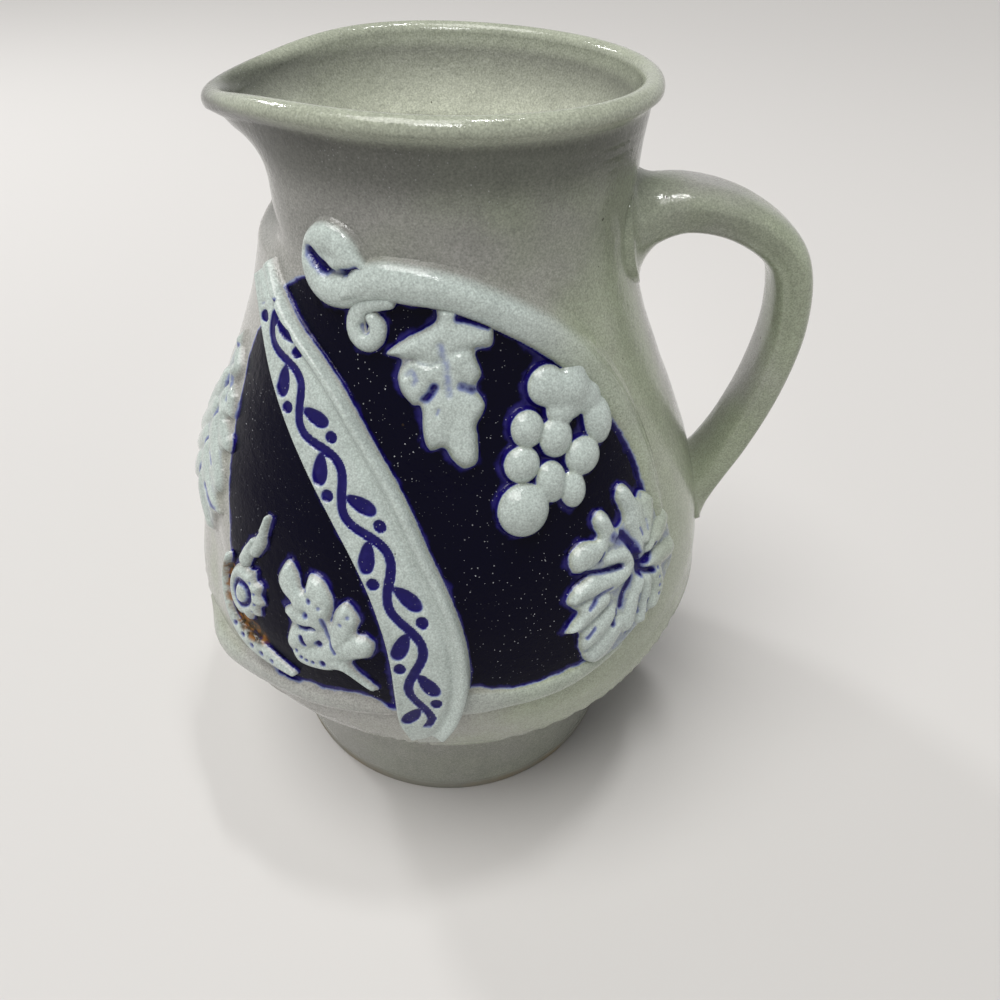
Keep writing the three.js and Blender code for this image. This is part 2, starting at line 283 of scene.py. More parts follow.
def signed_distance(angle, z, points, outline):
    """Positive inside the outline, negative outside it."""
    ring = np.vstack([outline, outline[:1]])
    gap = nearest(points, on_line(ring))[0]
    return np.where(inside(angle, z, outline), gap, -gap)


# Meshes

def place_object(name, data):
    thing = bpy.data.objects.new(name, data)
    bpy.context.scene.collection.objects.link(thing)
    return thing


def make_mesh(name, points, quads, caps, fields, uv):
    """A smooth mesh of quads and end caps, with the glaze's fields and a bake map."""
    mesh = bpy.data.meshes.new(name)
    faces = [*quads.tolist(), *[cap.tolist() for cap in caps]]
    mesh.from_pydata((points * MM).tolist(), [], faces, shade_flat=False)
    for key, plain_value in GLAZE_FIELDS.items():
        values = np.zeros(len(points)) + fields.get(key, plain_value)
        mesh.attributes.new(key, "FLOAT", "POINT").data.foreach_set("value", values.astype(np.float32))
    corners = np.concatenate([quads.ravel(), *caps])
    mesh.uv_layers.new(name="OFBake").data.foreach_set("uv", uv[corners].astype(np.float32).ravel())
    mesh.validate()
    return place_object(name, mesh)


def end_caps(rings, sides):
    """The vertices of the first and last ring of a lathe, each wound outwards."""
    return [np.arange(sides)[::-1], (rings - 1) * sides + np.arange(sides)]


def grid_quads(rows, columns, closed=True):
    """The quads of a grid of vertices, whose columns may close into a ring."""
    i, j = [g.ravel() for g in np.meshgrid(range(rows - 1), range(columns - (not closed)), indexing="ij")]
    k = (j + 1) % columns
    return np.stack([i * columns + j, i * columns + k, (i + 1) * columns + k, (i + 1) * columns + j], 1)


# Body

def body_rows():
    bead = (RIM_RADIUS - BEAD_RADIUS, JUG_HEIGHT - BEAD_RADIUS)
    inner = SKIN[::4] - [WALL, 0]
    inner = inner[(inner[:, 1] < NECK_HEIGHT + WALL) & (inner[:, 1] > LEDGE[1])][::-1]
    foot_inner = (FOOT_TOP[0] - WALL, FLOOR + WALL)
    return np.vstack([
        np.linspace((FOOT_MIDDLE, 0), (BASE_RADIUS - BASE_BEVEL, 0), 5),
        arc((BASE_RADIUS - BASE_BEVEL, BASE_BEVEL), BASE_BEVEL, -60, 0, 3),
        np.linspace((BASE_RADIUS, BASE_BEVEL), FOOT_TOP, 15)[1:],
        bezier([FOOT_TOP, (FOOT_TOP[0] + 0.2, FOOT_TOP[1] + 0.9), LEDGE], 4)[1:-1],
        SKIN,
        arc(bead, BEAD_RADIUS, -27, 189, 18)[1:],
        inner,
        np.linspace(inner[-1], foot_inner, 9)[1:],
        arc((foot_inner[0] - WALL, foot_inner[1]), WALL, -15, -90, 6),
        np.linspace((foot_inner[0] - WALL, FLOOR), (FLOOR_MIDDLE, FLOOR), 7)[1:],
    ])


def pull_lip(points):
    """Swells the rim where it faces -X, then pulls it out and down into a lip."""
    x, y, z = points.T
    r = np.hypot(x, y)
    away = np.degrees(np.arctan2(y, -x)) / LIP_SPREAD
    facing = np.exp(-(away**2))
    swell = LIP_SWELL * facing * smoothstep(z, *LIP_SWELL_RISE)
    z = JUG_HEIGHT - (JUG_HEIGHT - z) * (1 + swell)
    r_new = np.where(r > 20, RIM_RADIUS + (r - RIM_RADIUS) * (1 + 0.7 * swell), r)
    rise = smoothstep(z, JUG_HEIGHT - LIP_HEIGHT, JUG_HEIGHT)
    r_new = r_new + LIP_REACH * rise * facing
    z = z - LIP_DROP * rise * np.exp(-(away**2) / 2)
    scale = r_new / np.maximum(r, 1e-6)
    return np.stack([x * scale, y * scale, z], 1)


def make_body():
    rows = body_rows()
    angle = np.arange(ANGLES) * 360 / ANGLES
    r, z = np.repeat(rows[:, 0], ANGLES), np.repeat(rows[:, 1], ANGLES)
    a = np.tile(angle, len(rows))
    turn = np.radians(a)
    r = r + wobble(a, z) * smoothstep(z, 2, 25) * smoothstep(r, 20, 30)
    points = np.stack([r * np.sin(turn), -r * np.cos(turn), z], 1)
    # The outside rows stand on the same skin as the reliefs.
    first = int(np.argmin(np.abs(rows - SKIN[0]).sum(1)))
    top = first + len(SKIN)
    outer = slice(first * ANGLES, top * ANGLES)
    points[outer] = on_skin(a[outer], z[outer])
    field, near, edge, rust = [np.full(len(points), value) for value in (-FAR, FAR, -FAR, 0.0)]
    panel = np.zeros(len(points), bool)
    panel[outer] = (z[outer] > PANEL_SPAN[0]) & (z[outer] < PANEL_SPAN[1])
    front, height = mirrored_angle(a[panel]), z[panel]
    skin = on_skin(front, height)
    moved = front + np.degrees(FRINGE_SHIFT[0] / radius_at(height))
    lower = height + FRINGE_SHIFT[1]
    below = on_skin(moved, lower)
    field[panel] = signed_distance(front, height, skin, FIELD)
    near[panel] = ground_gap(moved, lower, below)
    edge[panel] = signed_distance(moved, lower, below, FIELD)
    rust[panel] = rust_near(skin) * (points[panel][:, 1] < 0)
    path = run_along(rows)
    length = np.repeat(path, ANGLES)
    uv = np.stack([np.tile(angle / 360, len(rows)), length / path[-1]], 1)
    fields = {"field": field, "near": near, "edge": edge, "rust": rust,
              "wet": smoothstep(length, *GLAZE_START),
              "inside": smoothstep(length, path[top + INSIDE_ROWS[0]], path[top + INSIDE_ROWS[1]])}
    return make_mesh("jug_body", pull_lip(points), grid_quads(len(rows), ANGLES),
                     end_caps(len(rows), ANGLES), fields, uv)


# Panel

# The heights between which the body is painted, the length along the profile over which the
# glaze starts above the bare foot, and the rows past the rim over which the inside's painted light sets in
PANEL_SPAN = (50, 152)
GLAZE_START = (28.5, 32)
INSIDE_ROWS = (12, 18)
FIELD = smooth_line([
    (-57, 124.5), (-52, 129), (-46, 134), (-41.5, 136.6), (-36, 138), (-31, 138.5), (-25, 140),
    (-18, 140), (-7, 141), (5, 140), (17, 136.8), (30, 131.3), (40, 124.3), (47, 116.8),
    (51.5, 108.3), (53.2, 99), (51.5, 92), (48, 84), (45, 76), (41, 71.5), (36, 69.8), (30, 69),
    (25, 68.6), (18, 67.9), (12, 68.6), (6.7, 69.7), (0, 66), (-6, 62.9), (-9, 64.3), (-13, 65.4),
    (-19, 64.2), (-24, 63.6), (-28, 62.4), (-33, 63), (-40, 65), (-45, 68.5), (-47.5, 72.5),
    (-48, 76), (-47.3, 80), (-46.5, 84), (-50, 92), (-54, 100), (-58, 110), (-60, 117),
    (-59.5, 121.5)], closed=True, per=4)

# Reliefs

FOOT_LIFT = 0.25
SUNK_LIFT = -0.2
FOOT_REACH = 0.35
LOBE_SPREAD = 1.2
Sprig = namedtuple("Sprig", "name low high find_gap shape rusty")
SPRIGS = []


def band(stations):
    """The outline of a band from its stations of [angle, height, half width]."""
    path = smooth_line(stations)
    step = np.gradient(path[:, :2], axis=0)
    per_degree = np.radians(1) * radius_at(path[:, 1])
    way = np.stack([step[:, 0] * per_degree, step[:, 1]], 1)
    way /= np.linalg.norm(way, axis=1)[:, None]
    side = np.stack([-way[:, 1] / per_degree, way[:, 0]], 1) * path[:, 2:3]
    return np.vstack([path[:, :2] + side, (path[:, :2] - side)[::-1]])


def edge_rise(gap, width):
    """0 outside an outline, rising in a rounded edge to 1 at that width inside it."""
    return np.sin(0.5 * np.pi * np.clip(gap / width, 0, 1))


def fillet(gap, lift):
    """The clay's foot: a small concave skirt outside the outline that sinks into the skin."""
    skirt = SUNK_LIFT + (FOOT_LIFT - SUNK_LIFT) * np.exp(np.minimum(gap, 0) / FOOT_REACH)
    return np.where(gap < 0, skirt, FOOT_LIFT + np.maximum(lift, 0.02))


def rope_gap(skin, rope):
    """How deep each point lies inside a rope of [angle, height, half width], and that width."""
    path = smooth_line(rope) if len(rope) > 2 else np.array(rope, float)
    line = on_line(path)
    away, along, side = nearest(skin, line)
    half = np.interp(along, run_along(line), path[:, 2])
    return half - away, half, side, along


def ropes_lift(skin, ropes, height, roundness=0.5, melt=5, taper=0.0):
    """Rounded ropes laid side by side, melting into each other."""
    total = np.zeros(len(skin))
    for rope in ropes:
        gap, half, _, _ = rope_gap(skin, rope)
        across = 1 - np.clip(gap / half, 0, 1)
        top = height * (half / max(place[2] for place in rope)) ** taper
        total += (top * (1 - across**2) ** roundness) ** melt
    return total ** (1 / melt)


# A mark is (points, width, depth, stain): a groove through its points, or a pit at a single one.

def pits(points, width, depth, stain):
    return [([point], width, depth, stain) for point in points]


def carve(skin, gap, lift, stain, marks):
    """Cuts each mark into a lift and gathers how much cobalt pools there."""
    body = smoothstep(gap, 0.1, 0.6)
    for points, width, depth, pool in marks:
        line = np.array(points, float)
        if len(line) > 2:
            line = smooth_line(line)
        away = nearest(skin, on_line(line))[0]
        lift = lift - depth * bell(away, width) * body
        stain = np.maximum(stain, pool * bell(away, 1.15 * width))
    return lift, stain * body


def ground_gap(angle, z, skin):
    """How far bare ground lies from the nearest relief, up to a few millimetres."""
    found = np.full(len(angle), FAR)
    for item in SPRIGS:
        low, high = item.low - [5, 4], item.high + [5, 4]
        close = (angle > low[0]) & (angle < high[0]) & (z > low[1]) & (z < high[1])
        if close.any():
            gap = item.find_gap(angle[close], z[close], skin[close])
            found[close] = np.minimum(found[close], -gap)
    return found


def outline_sprig(name, outline, shape):
    def find_gap(a, z, skin):
        return signed_distance(a, z, skin, outline)

    SPRIGS.append(Sprig(name, outline.min(0), outline.max(0), find_gap, shape, False))


def rope_sprig(name, ropes, height, marks=(), valley=0.0, taper=0.0, rusty=False):
    """A relief made of ropes alone."""
    every = np.vstack([np.array(r, float) for r in ropes])
    reach = every[:, 2].max() + 0.5
    margin = np.array([np.degrees(reach / radius_at(every[:, 1].mean())), reach])

    def find_gap(a, z, skin):
        return np.max([rope_gap(skin, r)[0] for r in ropes], axis=0)

    def shape(a, z, skin, gap):
        lift = ropes_lift(skin, ropes, height - FOOT_LIFT, taper=taper)
        stain = valley * (1 - smoothstep(lift / height, 0.1, 0.5))
        lift, stain = carve(skin, gap, lift, stain, marks)
        return fillet(gap, lift), stain, height

    low, high = every[:, :2].min(0) - margin, every[:, :2].max(0) + margin
    SPRIGS.append(Sprig(name, low, high, find_gap, shape, rusty))


def leaf(name, outline, lobes, base, puff, valley, marks, edge=1.5):
    """A cushion cut to its outline, whose lobes swell softly round their veins."""
    wide = [[(a, z, LOBE_SPREAD * half) for a, z, half in lobe] for lobe in lobes]

    def shape(a, z, skin, gap):
        swell = ropes_lift(skin, wide, puff, 0.85, 3) * edge_rise(gap, 1.8)
        lift = (base - FOOT_LIFT) * edge_rise(gap, edge) ** 0.8 + swell
        stain = valley * (1 - smoothstep(swell / puff, 0.05, 0.4))
        lift, stain = carve(skin, gap, lift, stain, marks)
        return fillet(gap, lift), stain, base + 0.75 * puff

    outline_sprig(name, smooth_line(outline, closed=True, per=5), shape)


# Vine

BRANCH = [(-22, 137.4, 1.2), (-18, 139.3, 3.0), (-13, 140.5, 3.5), (-7, 140.6, 3.6), (5, 139.7, 3.5),
          (17, 136.5, 3.4), (30, 131, 3.3), (40, 124.4, 3.3), (47.4, 117, 3.1), (52, 108, 2.8),
          (53.2, 98, 2.4), (53, 90, 1.4)]
BRANCH_HEIGHT = 2.9
BRANCH_THINNING = 1.3

# Millimetres along the branch over which its outer side spreads, softens and shows the seam
SOFT_SIDE = 1.7
SPREAD_RUN = (16, 44)
SOFT_RUN = (8, 34)
THIN_RUN = (24, 75)
SEAM_RUN = (42, 50)
SEAM_RISE = 0.28


def make_branch():
    """A round rope whose outer side fades into the shoulder, with a fine seam along its edge."""
    wide = band([(a, z + 0.4 * w, 1.45 * w) for a, z, w in BRANCH])

    def soft_reach(along):
        return 1 + (SOFT_SIDE - 1) * smoothstep(along, *SPREAD_RUN)

    def find_gap(a, z, skin):
        gap, half, side, along = rope_gap(skin, BRANCH)
        return np.where(side > 0, gap + (soft_reach(along) - 1) * half, gap)

    def shape(a, z, skin, gap):
        inner, half, side, along = rope_gap(skin, BRANCH)
        outer = side > 0
        across = (half - inner) / half
        t = np.clip(across / np.where(outer, soft_reach(along), 1), 0, 1)
        round_side = np.sqrt(1 - t**2)
        soft_side = (1 - smoothstep(t, 0.1, 1)) ** 1.1
        soft_side = round_side + (soft_side - round_side) * smoothstep(along, *SOFT_RUN)
        height = BRANCH_HEIGHT - BRANCH_THINNING * smoothstep(along, *THIN_RUN)
        lift = (height - FOOT_LIFT) * np.where(outer, soft_side, round_side)
        lift = lift + SEAM_RISE * smoothstep(along, *SEAM_RUN) * bell(across - 0.93, 0.085) * outer
        faded = np.where(gap < 0, 0.6 * gap, lift + 0.25 * np.minimum(gap, 1))
        return np.where(outer, faded, fillet(gap, lift)), np.zeros(len(a)), BRANCH_HEIGHT

    SPRIGS.append(Sprig("vine_branch", wide.min(0) - 2, wide.max(0) + 2, find_gap, shape, False))


def make_vine():
    make_branch()
    rope_sprig("vine_scroll", [
        [(-17, 139.6, 2.8), (-22, 138, 3), (-27, 137.4, 2.9), (-30.6, 138.6, 2.8),
         (-32.2, 141.2, 2.7), (-31, 143.9, 2.8), (-27.4, 145.6, 3), (-23.6, 144.9, 3),
         (-20.6, 143.2, 2.5), (-18.4, 142.2, 1.8)],
        [(-29, 141.6, 2.6), (-24, 141.4, 2.6)]], 2.6, [
        ([(-32.2, 142.9), (-30.4, 141.9), (-28.2, 141)], 1.25, 1.8, 0.92),
        ([(-28, 141), (-25.6, 140.7), (-23, 140.8)], 0.7, 1.2, 0.4),
        ([(-22.4, 141), (-20.4, 141.4), (-18.6, 142)], 0.75, 1, 0.75)], 0.2)
    rope_sprig("vine_tendril", [
        [(-11, 137.2, 1.3), (-14.5, 136.8, 1.6), (-18, 135.6, 1.7), (-19.6, 133.2, 1.8),
         (-18.8, 131.1, 1.8), (-16.4, 130.3, 1.8), (-14.3, 131.3, 1.7), (-13.8, 133, 1.6),
         (-15, 134.2, 1.3)]], 2, [([(-16.9, 132.8), (-16.5, 132.2)], 0.6, 1.5, 0.95)], 0.3)


# Leaves

HANGING_LEAF = [
    (2.3, 137.4), (1.2, 135), (-1.6, 133.6), (-6.9, 131.6), (-11.6, 128.9), (-7.6, 128.2), (-8.4, 125.6),
    (-7.3, 123.1), (-4.5, 121.2), (-2.4, 120.8), (-1.8, 116.6), (-0.2, 114.2), (2.9, 114.6),
    (4.9, 112.6), (7.4, 111.3), (10.4, 112.4), (10.7, 116.3), (10.6, 118.2), (12.8, 121.2),
    (10.9, 124.2), (12.3, 126.4), (11, 129.8), (15.2, 130.6), (15.7, 133.7), (14.6, 136.6)]
HANGING_LOBES = [
    [(3.5, 136, 2.6), (4, 131, 3.4), (3.6, 126, 2.6)],
    [(-9.8, 129.4, 0.9), (-5.5, 130.6, 1.9), (-0.5, 131.2, 2.6)],
    [(-4.7, 124.4, 3.1), (-1.5, 126.6, 2.4)],
    [(12.6, 133.2, 2.2), (8.2, 132.6, 2.4)],
    [(9, 127.6, 2.7), (6.5, 128.8, 2.2)],
    [(0.6, 117.6, 2.9), (2.4, 121.4, 2.6)],
    [(8, 114.4, 2.5), (7.2, 119, 3), (5, 123, 2.4)],
    [(10.4, 121, 2), (8.4, 122, 1.8)]]
LOBED_LEAF = [
    (43.6, 102.2), (41.3, 100.4), (42.2, 96.2), (40, 95), (38.8, 98), (36.6, 99.6), (34.3, 98),
    (34.8, 94.8), (31.1, 95.4), (27.7, 93.6), (28.2, 90.2), (31.4, 88.8), (28.2, 87.4), (26.2, 85.2),
    (27.2, 83.4), (28.4, 82), (26.6, 80.2), (25.4, 78.3), (28.2, 77.4), (28.2, 74.2), (29.2, 70.6),
    (31.4, 68.2), (36.3, 68.2), (40.1, 69.7), (44.4, 71.6), (49.4, 73.8), (53, 77.4), (56.3, 80.5),
    (56.6, 87), (55.3, 92.3), (52.4, 96.6), (49, 98.8), (47.4, 98), (46, 100.6)]
LOBED_LOBES = [
    [(43.5, 99.6, 2.5), (45, 96.3, 2.7), (45.3, 91.8, 1.5), (44.4, 88.6, 1.1)],
    [(36.4, 97.4, 2.1), (38.2, 94.6, 2.1)],
    [(30, 92.6, 2.6), (34, 93.2, 2.4)],
    [(26.6, 85.3, 1.4), (30.5, 86.4, 2), (35.8, 85.8, 1.9), (39.4, 85.9, 1.7), (41.3, 87.3, 1.4),
     (40.2, 89.4, 1.4), (36.8, 90.3, 1.2)],
    [(26.8, 79.2, 1.3), (29.5, 81.2, 2.2), (34, 82.8, 1.6)],
    [(28.8, 75, 1.8), (31.5, 76.4, 2.3), (35.5, 79, 1.7)],
    [(30, 70.4, 1.8), (33, 72, 2.4), (37, 75.4, 1.9)],
    [(43.4, 82.2, 1.4), (41.4, 78.8, 1.6), (39.6, 74.4, 1.8)],
    [(45.7, 81.6, 1.1), (45, 78, 1.1), (43.2, 73.6, 1.3)],
    [(48.6, 81.4, 1.7), (48.8, 77.6, 1.8), (47, 74.8, 1.4)],
    [(46.2, 84.9, 1.1), (50, 84.2, 2), (54, 83.8, 2)],
    [(47.6, 87.6, 1.1), (51.5, 89.3, 2), (54, 91, 1.6)],
    [(46.8, 90, 1.1), (48.6, 93.5, 1.7), (50, 96.4, 1.6)]]
SIDE_LEAF = [
    (-67.5, 120.5), (-64.5, 118), (-60.5, 114.8), (-62.4, 111.6), (-58.8, 110), (-57, 106.5),
    (-60, 105), (-55, 103.6), (-53.6, 101), (-56.6, 99.4), (-53.2, 96.4), (-52.6, 93.2), (-55, 91),
    (-52, 88.6), (-55.4, 86.6), (-57, 83), (-61.5, 77.4), (-66, 79), (-69, 77.4), (-76, 81.5),
    (-77.5, 85.5), (-81.5, 89), (-79, 93), (-80.5, 98), (-76.5, 101), (-76, 106), (-72, 109),
    (-71, 114.5)]
SIDE_LOBES = [
    [(-65.5, 118, 1.6), (-62, 115.5, 1.8), (-59.4, 113.6, 1.4)],
    [(-63.5, 113, 1.9), (-59.5, 109.5, 2), (-56.4, 106.6, 1.6)],
    [(-64.5, 107.5, 2), (-58.5, 102.5, 2.3), (-53.4, 101, 1.6)],
    [(-66, 101.5, 2), (-59.5, 96.5, 2.4), (-52.6, 93.6, 1.8)],
    [(-67, 95.5, 1.9), (-61.5, 90, 2.3), (-53, 87.4, 1.8)],
    [(-68, 89.5, 1.9), (-65, 84, 2.1), (-60.6, 79.4, 1.7)],
    [(-68.5, 110, 1.8), (-72.5, 105, 1.8), (-75, 101, 1.6)],
    [(-69.5, 103, 1.9), (-75, 97.5, 2), (-78.6, 93.6, 1.7)],
    [(-70.5, 96, 1.9), (-76, 91, 2), (-80, 88, 1.5)],
    [(-71, 89.5, 1.9), (-74, 85.5, 1.9), (-75.6, 83, 1.4)]]
SMALL_LEAF = [
    (-28.8, 91), (-30.9, 86.6), (-29.2, 84.2), (-27, 83), (-28.6, 80.9), (-26.8, 79.2), (-27.6, 74.4),
    (-26, 71.3), (-23, 69.6), (-18.2, 70.4), (-15.5, 71.4), (-10.4, 68), (-9.2, 69.1), (-14, 73.8),
    (-10.5, 76.2), (-9.6, 79.4), (-11, 80.8), (-13, 81.2), (-12.6, 84.3), (-15.4, 86.9),
    (-17.6, 84.8), (-18.3, 82.2), (-17.9, 86.2), (-20.4, 89.6), (-23.6, 90), (-24.6, 86.6),
    (-26.2, 89.6)]
SMALL_LOBES = [
    [(-28.3, 88.9, 1.6), (-27.4, 86.4, 2.1), (-25, 83.6, 1.8)],
    [(-22.6, 87.6, 2), (-21, 86.4, 2.6), (-21.4, 81.6, 2)],
    [(-15.6, 84.4, 2.1), (-15.6, 81.6, 1.9), (-17, 77.6, 1.2)],
    [(-12.4, 78.2, 2.3), (-15.6, 76.6, 1.8)],
    [(-26.6, 81, 1.6), (-23.6, 80.6, 1.7)],
    [(-25.4, 75.6, 2.2), (-22.6, 77.4, 1.8)],
    [(-23.6, 72.4, 2), (-19, 73.2, 2.4), (-17.4, 76, 1.6)],
    [(-16.4, 73, 1.6), (-13.2, 71, 0.9), (-10.2, 68.8, 0.6)]]


def make_leaves():
    leaf("hanging_leaf", HANGING_LEAF, HANGING_LOBES, base=1.2, puff=1.0, valley=0.3, marks=[
        ([(-5.6, 126.2), (-4.4, 126.8), (-3.4, 125.6), (-4, 124.9)], 0.8, 0.4, 0.42),
        ([(-1.4, 122.4), (-0.2, 123.2), (0.8, 124.4)], 0.9, 0.7, 0.75),
        ([(1.9, 121), (1.5, 120.2)], 0.5, 0.3, 0.4),
        ([(2.4, 131), (3.6, 127.8), (4.2, 123.4)], 1.1, 0.5, 0.42),
        ([(-5, 128.6), (-1, 128), (2.6, 128.6)], 0.8, 0.4, 0.3),
        ([(5, 129.8), (8, 130.6), (11, 130.4)], 0.8, 0.4, 0.25),
        ([(7.2, 124.6), (9.4, 124), (12.4, 124.2)], 0.95, 0.5, 0.62),
        ([(6.9, 135.6), (10, 135.2), (14, 134.3)], 0.85, 0.9, 0.98),
        ([(12.4, 130.4), (13.4, 128.8)], 0.9, 0.2, 0.4)])
    leaf("lobed_leaf", LOBED_LEAF, LOBED_LOBES, base=1.1, puff=1.15, valley=0.36, marks=[
        ([(41, 93.4), (42.8, 90.4), (43.8, 87), (44.2, 84)], 1.1, 0.5, 0.95),
        ([(38, 94.2), (40.2, 92.4)], 1.3, 0.4, 0.62),
        ([(44, 85.4), (46.4, 86), (49, 87.4)], 0.75, 0.5, 0.95),
        ([(44, 84.4), (47.5, 82.6)], 0.75, 0.5, 0.95),
        ([(41.6, 83.8), (39.2, 82), (38.2, 79.4)], 0.9, 0.5, 0.85),
        ([(27.6, 88.8), (31.2, 89.2), (35.6, 88.2), (39.4, 87.6)], 0.55, 0.9, 0.9),
        ([(34.6, 90.6), (35.4, 92)], 0.5, 0.4, 0.7),
        ([(30.6, 82.6), (33.4, 84.4), (36, 84.6)], 0.6, 0.4, 0.62),
        ([(42.8, 79.6), (42.3, 75.6)], 0.55, 0.5, 0.85),
        ([(45, 77.2), (44.4, 74)], 0.5, 0.5, 0.8),
        ([(36.6, 79.4), (35.7, 76.4)], 0.6, 0.4, 0.72),
        ([(40.6, 73.6), (39.4, 72)], 0.5, 0.3, 0.6),
        ([(31.4, 77.9), (29.6, 76.4)], 0.5, 0.3, 0.6),
        ([(45.2, 93), (45.6, 91.4)], 0.4, 0.3, 0.55),
        ([(47.6, 93.6), (47.4, 91.6)], 0.5, 0.3, 0.4),
        *pits([(48.9, 82.4), (48.8, 80.4), (48.7, 78.4), (48.3, 76.6)], 0.5, 0.3, 0.6)])
    leaf("side_leaf", SIDE_LEAF, SIDE_LOBES, base=1.1, puff=0.8, valley=0.3, marks=[
        ([(-66, 117.5), (-66.4, 108), (-67.2, 98), (-67.8, 85)], 0.75, 0.6, 0.6),
        ([(-63.5, 112), (-62, 108)], 0.8, 0.4, 0.45),
        ([(-63, 103.4), (-60.5, 101.8)], 0.8, 0.4, 0.5),
        ([(-62, 97), (-59, 95.8)], 0.8, 0.4, 0.5),
        ([(-61, 90), (-57.6, 88.8), (-54, 88.4)], 0.8, 0.4, 0.6)])
    leaf("small_leaf", SMALL_LEAF, SMALL_LOBES, base=1.2, puff=0.85, valley=0.25, marks=[
        ([(-19.8, 82.4), (-18.6, 79), (-16.9, 76.2)], 0.5, 0.45, 0.62),
        ([(-24.4, 79.1), (-21.6, 79.6)], 0.55, 0.6, 0.9),
        ([(-23.8, 77.2), (-23.1, 75.6)], 0.5, 0.5, 0.9),
        *pits([(-20.4, 76.6)], 0.75, 0.6, 0.95),
        *pits([(-22.6, 85.2), (-23.1, 82.1)], 0.75, 0.45, 0.7),
        *pits([(-24, 86.6), (-20.4, 84.6), (-16, 82.6), (-14.7, 84.4)], 0.6, 0.4, 0.55),
        *pits([(-24.8, 73.4), (-23.6, 72.6), (-22.5, 72.3), (-21.2, 72.4)], 0.5, 0.45, 0.7),
        *pits([(-19.2, 73)], 0.7, 0.5, 0.95)])


# Flower

ROSETTE = (-38.8, 79.2, 5.2, 5.9)
ROSETTE_TEETH = 11
RUST_RUN = [(-44.6, 80.4), (-44.2, 76.6), (-42.4, 73.6), (-40.2, 71.6), (-37.4, 70.4), (-34.6, 70.4)]
RUST_WIDTH = 1.9


def rust_near(skin):
    """1 on the line of rust beside the rosette, fading to both sides."""
    return bell(nearest(skin, on_line(smooth_line(RUST_RUN)))[0], RUST_WIDTH)


def rosette_ring(share, teeth, corners):
    """An oval round the rosette's middle, at a share of its size, with teeth on its right side."""
    angle, z, wide, tall = ROSETTE
    turn = np.linspace(0, 2 * np.pi, corners, endpoint=False)
    wave = 1 + teeth * np.cos(ROSETTE_TEETH * turn) * smoothstep(np.cos(turn), -0.2, 0.3)
    return np.stack([angle + wide * share * wave * np.cos(turn),
                     z + tall * share * wave * np.sin(turn)], 1)


def make_flower():
    angle, z = ROSETTE[:2]
    eye = [tuple(place) for place in rosette_ring(0.42, 0, 10)]
    leaf("rosette", rosette_ring(1, 0.08, 66), [[(angle, z + 1.6, 1.6), (angle, z - 1.6, 1.6)]],
         base=1.9, puff=0.5, edge=1.9, valley=0.0, marks=[
        (eye + eye[:1], 0.7, 0.8, 0.85),
        *pits([(-35.6, 80.6), (-35.3, 78.4), (-35.8, 76.4), (-36.9, 82.4)], 0.45, 0.4, 0.6)])
    rope_sprig("bud", [
        [(-39.8, 85.8, 1.7), (-39, 88.2, 1.4), (-38.2, 90.6, 0.6)],
        [(-37.2, 88.6, 1.1), (-36.4, 91, 1.4), (-35.9, 92.8, 1)],
        [(-35.9, 93.6, 0.9), (-35.4, 96.2, 0.6)]], 1.8, (), 0.2)
    rope_sprig("sepal", [
        [(-45.4, 83.4, 0.9), (-46.8, 79, 0.9), (-46, 74.8, 1.1), (-43.8, 71, 1.5),
         (-40.6, 68.2, 2.1), (-36.8, 67, 2.6), (-32.8, 66.5, 2.2), (-29.2, 66, 1.3), (-26.4, 65.6, 0.6)]],
         1.7, pits([(-41.4, 69.6), (-39, 68.2), (-36.4, 67.2), (-33.8, 66.8), (-31.2, 66.4)], 0.7, 0.5, 0.7),
         rusty=True)


# Grapes

GRAPES = [
    (28.2, 122.9, 3.5, 3.1), (34.6, 121.4, 4.3, 3.4), (39, 119.2, 3.2, 3), (31.2, 118.4, 3, 2.7),
    (22.1, 116.6, 3, 2.9), (28.8, 114.2, 3.2, 3.1), (40.9, 114.8, 3.1, 4), (34.9, 109.8, 3.7, 3),
    (20, 111.1, 3.2, 2.9), (26.2, 107.3, 2.9, 3.3), (30.9, 105, 2.7, 3), (19.3, 103.7, 4.5, 4.1),
    (37.2, 124.4, 3, 2.2), (31, 121.6, 3.6, 3.1), (34.2, 118.6, 2.8, 2.2)]
GRAPE_GROWTH = (1.12, 1.28)
GRAPE_RISE = 0.66
GRAPE_FLATNESS = 0.7
GRAPE_MELT = 6


def make_grapes():
    """Ovals of [angle, height, half width, half height], melted into each other."""
    centres = np.array(GRAPES) * [1, 1, *GRAPE_GROWTH]
    middles = on_line(centres)

    def beads(skin):
        for middle, (angle, _, wide, tall) in zip(middles, centres):
            offset = skin - middle
            turn = math.radians(angle)
            aside = offset @ [math.cos(turn), math.sin(turn), 0]
            upward = np.sqrt(np.maximum((offset**2).sum(1) - aside**2, 0))
            yield np.hypot(aside / wide, upward / tall), 0.5 * (wide + tall)

    def find_gap(a, z, skin):
        return np.max([(1 - share) * size for share, size in beads(skin)], axis=0)

    def shape(a, z, skin, gap):
        total = np.zeros(len(a))
        for share, size in beads(skin):
            total += (GRAPE_RISE * size * np.clip(1 - share**2, 0, 1) ** GRAPE_FLATNESS) ** GRAPE_MELT
        lift = total ** (1 / GRAPE_MELT)
        return fillet(gap, lift), 0.95 * (1 - smoothstep(lift, 0.45, 1)), 2.2

    low, high = (centres[:, :2] - [7, 6]).min(0), (centres[:, :2] + [7, 6]).max(0)
    SPRIGS.append(Sprig("grape_bunch", low, high, find_gap, shape, False))


# Banner

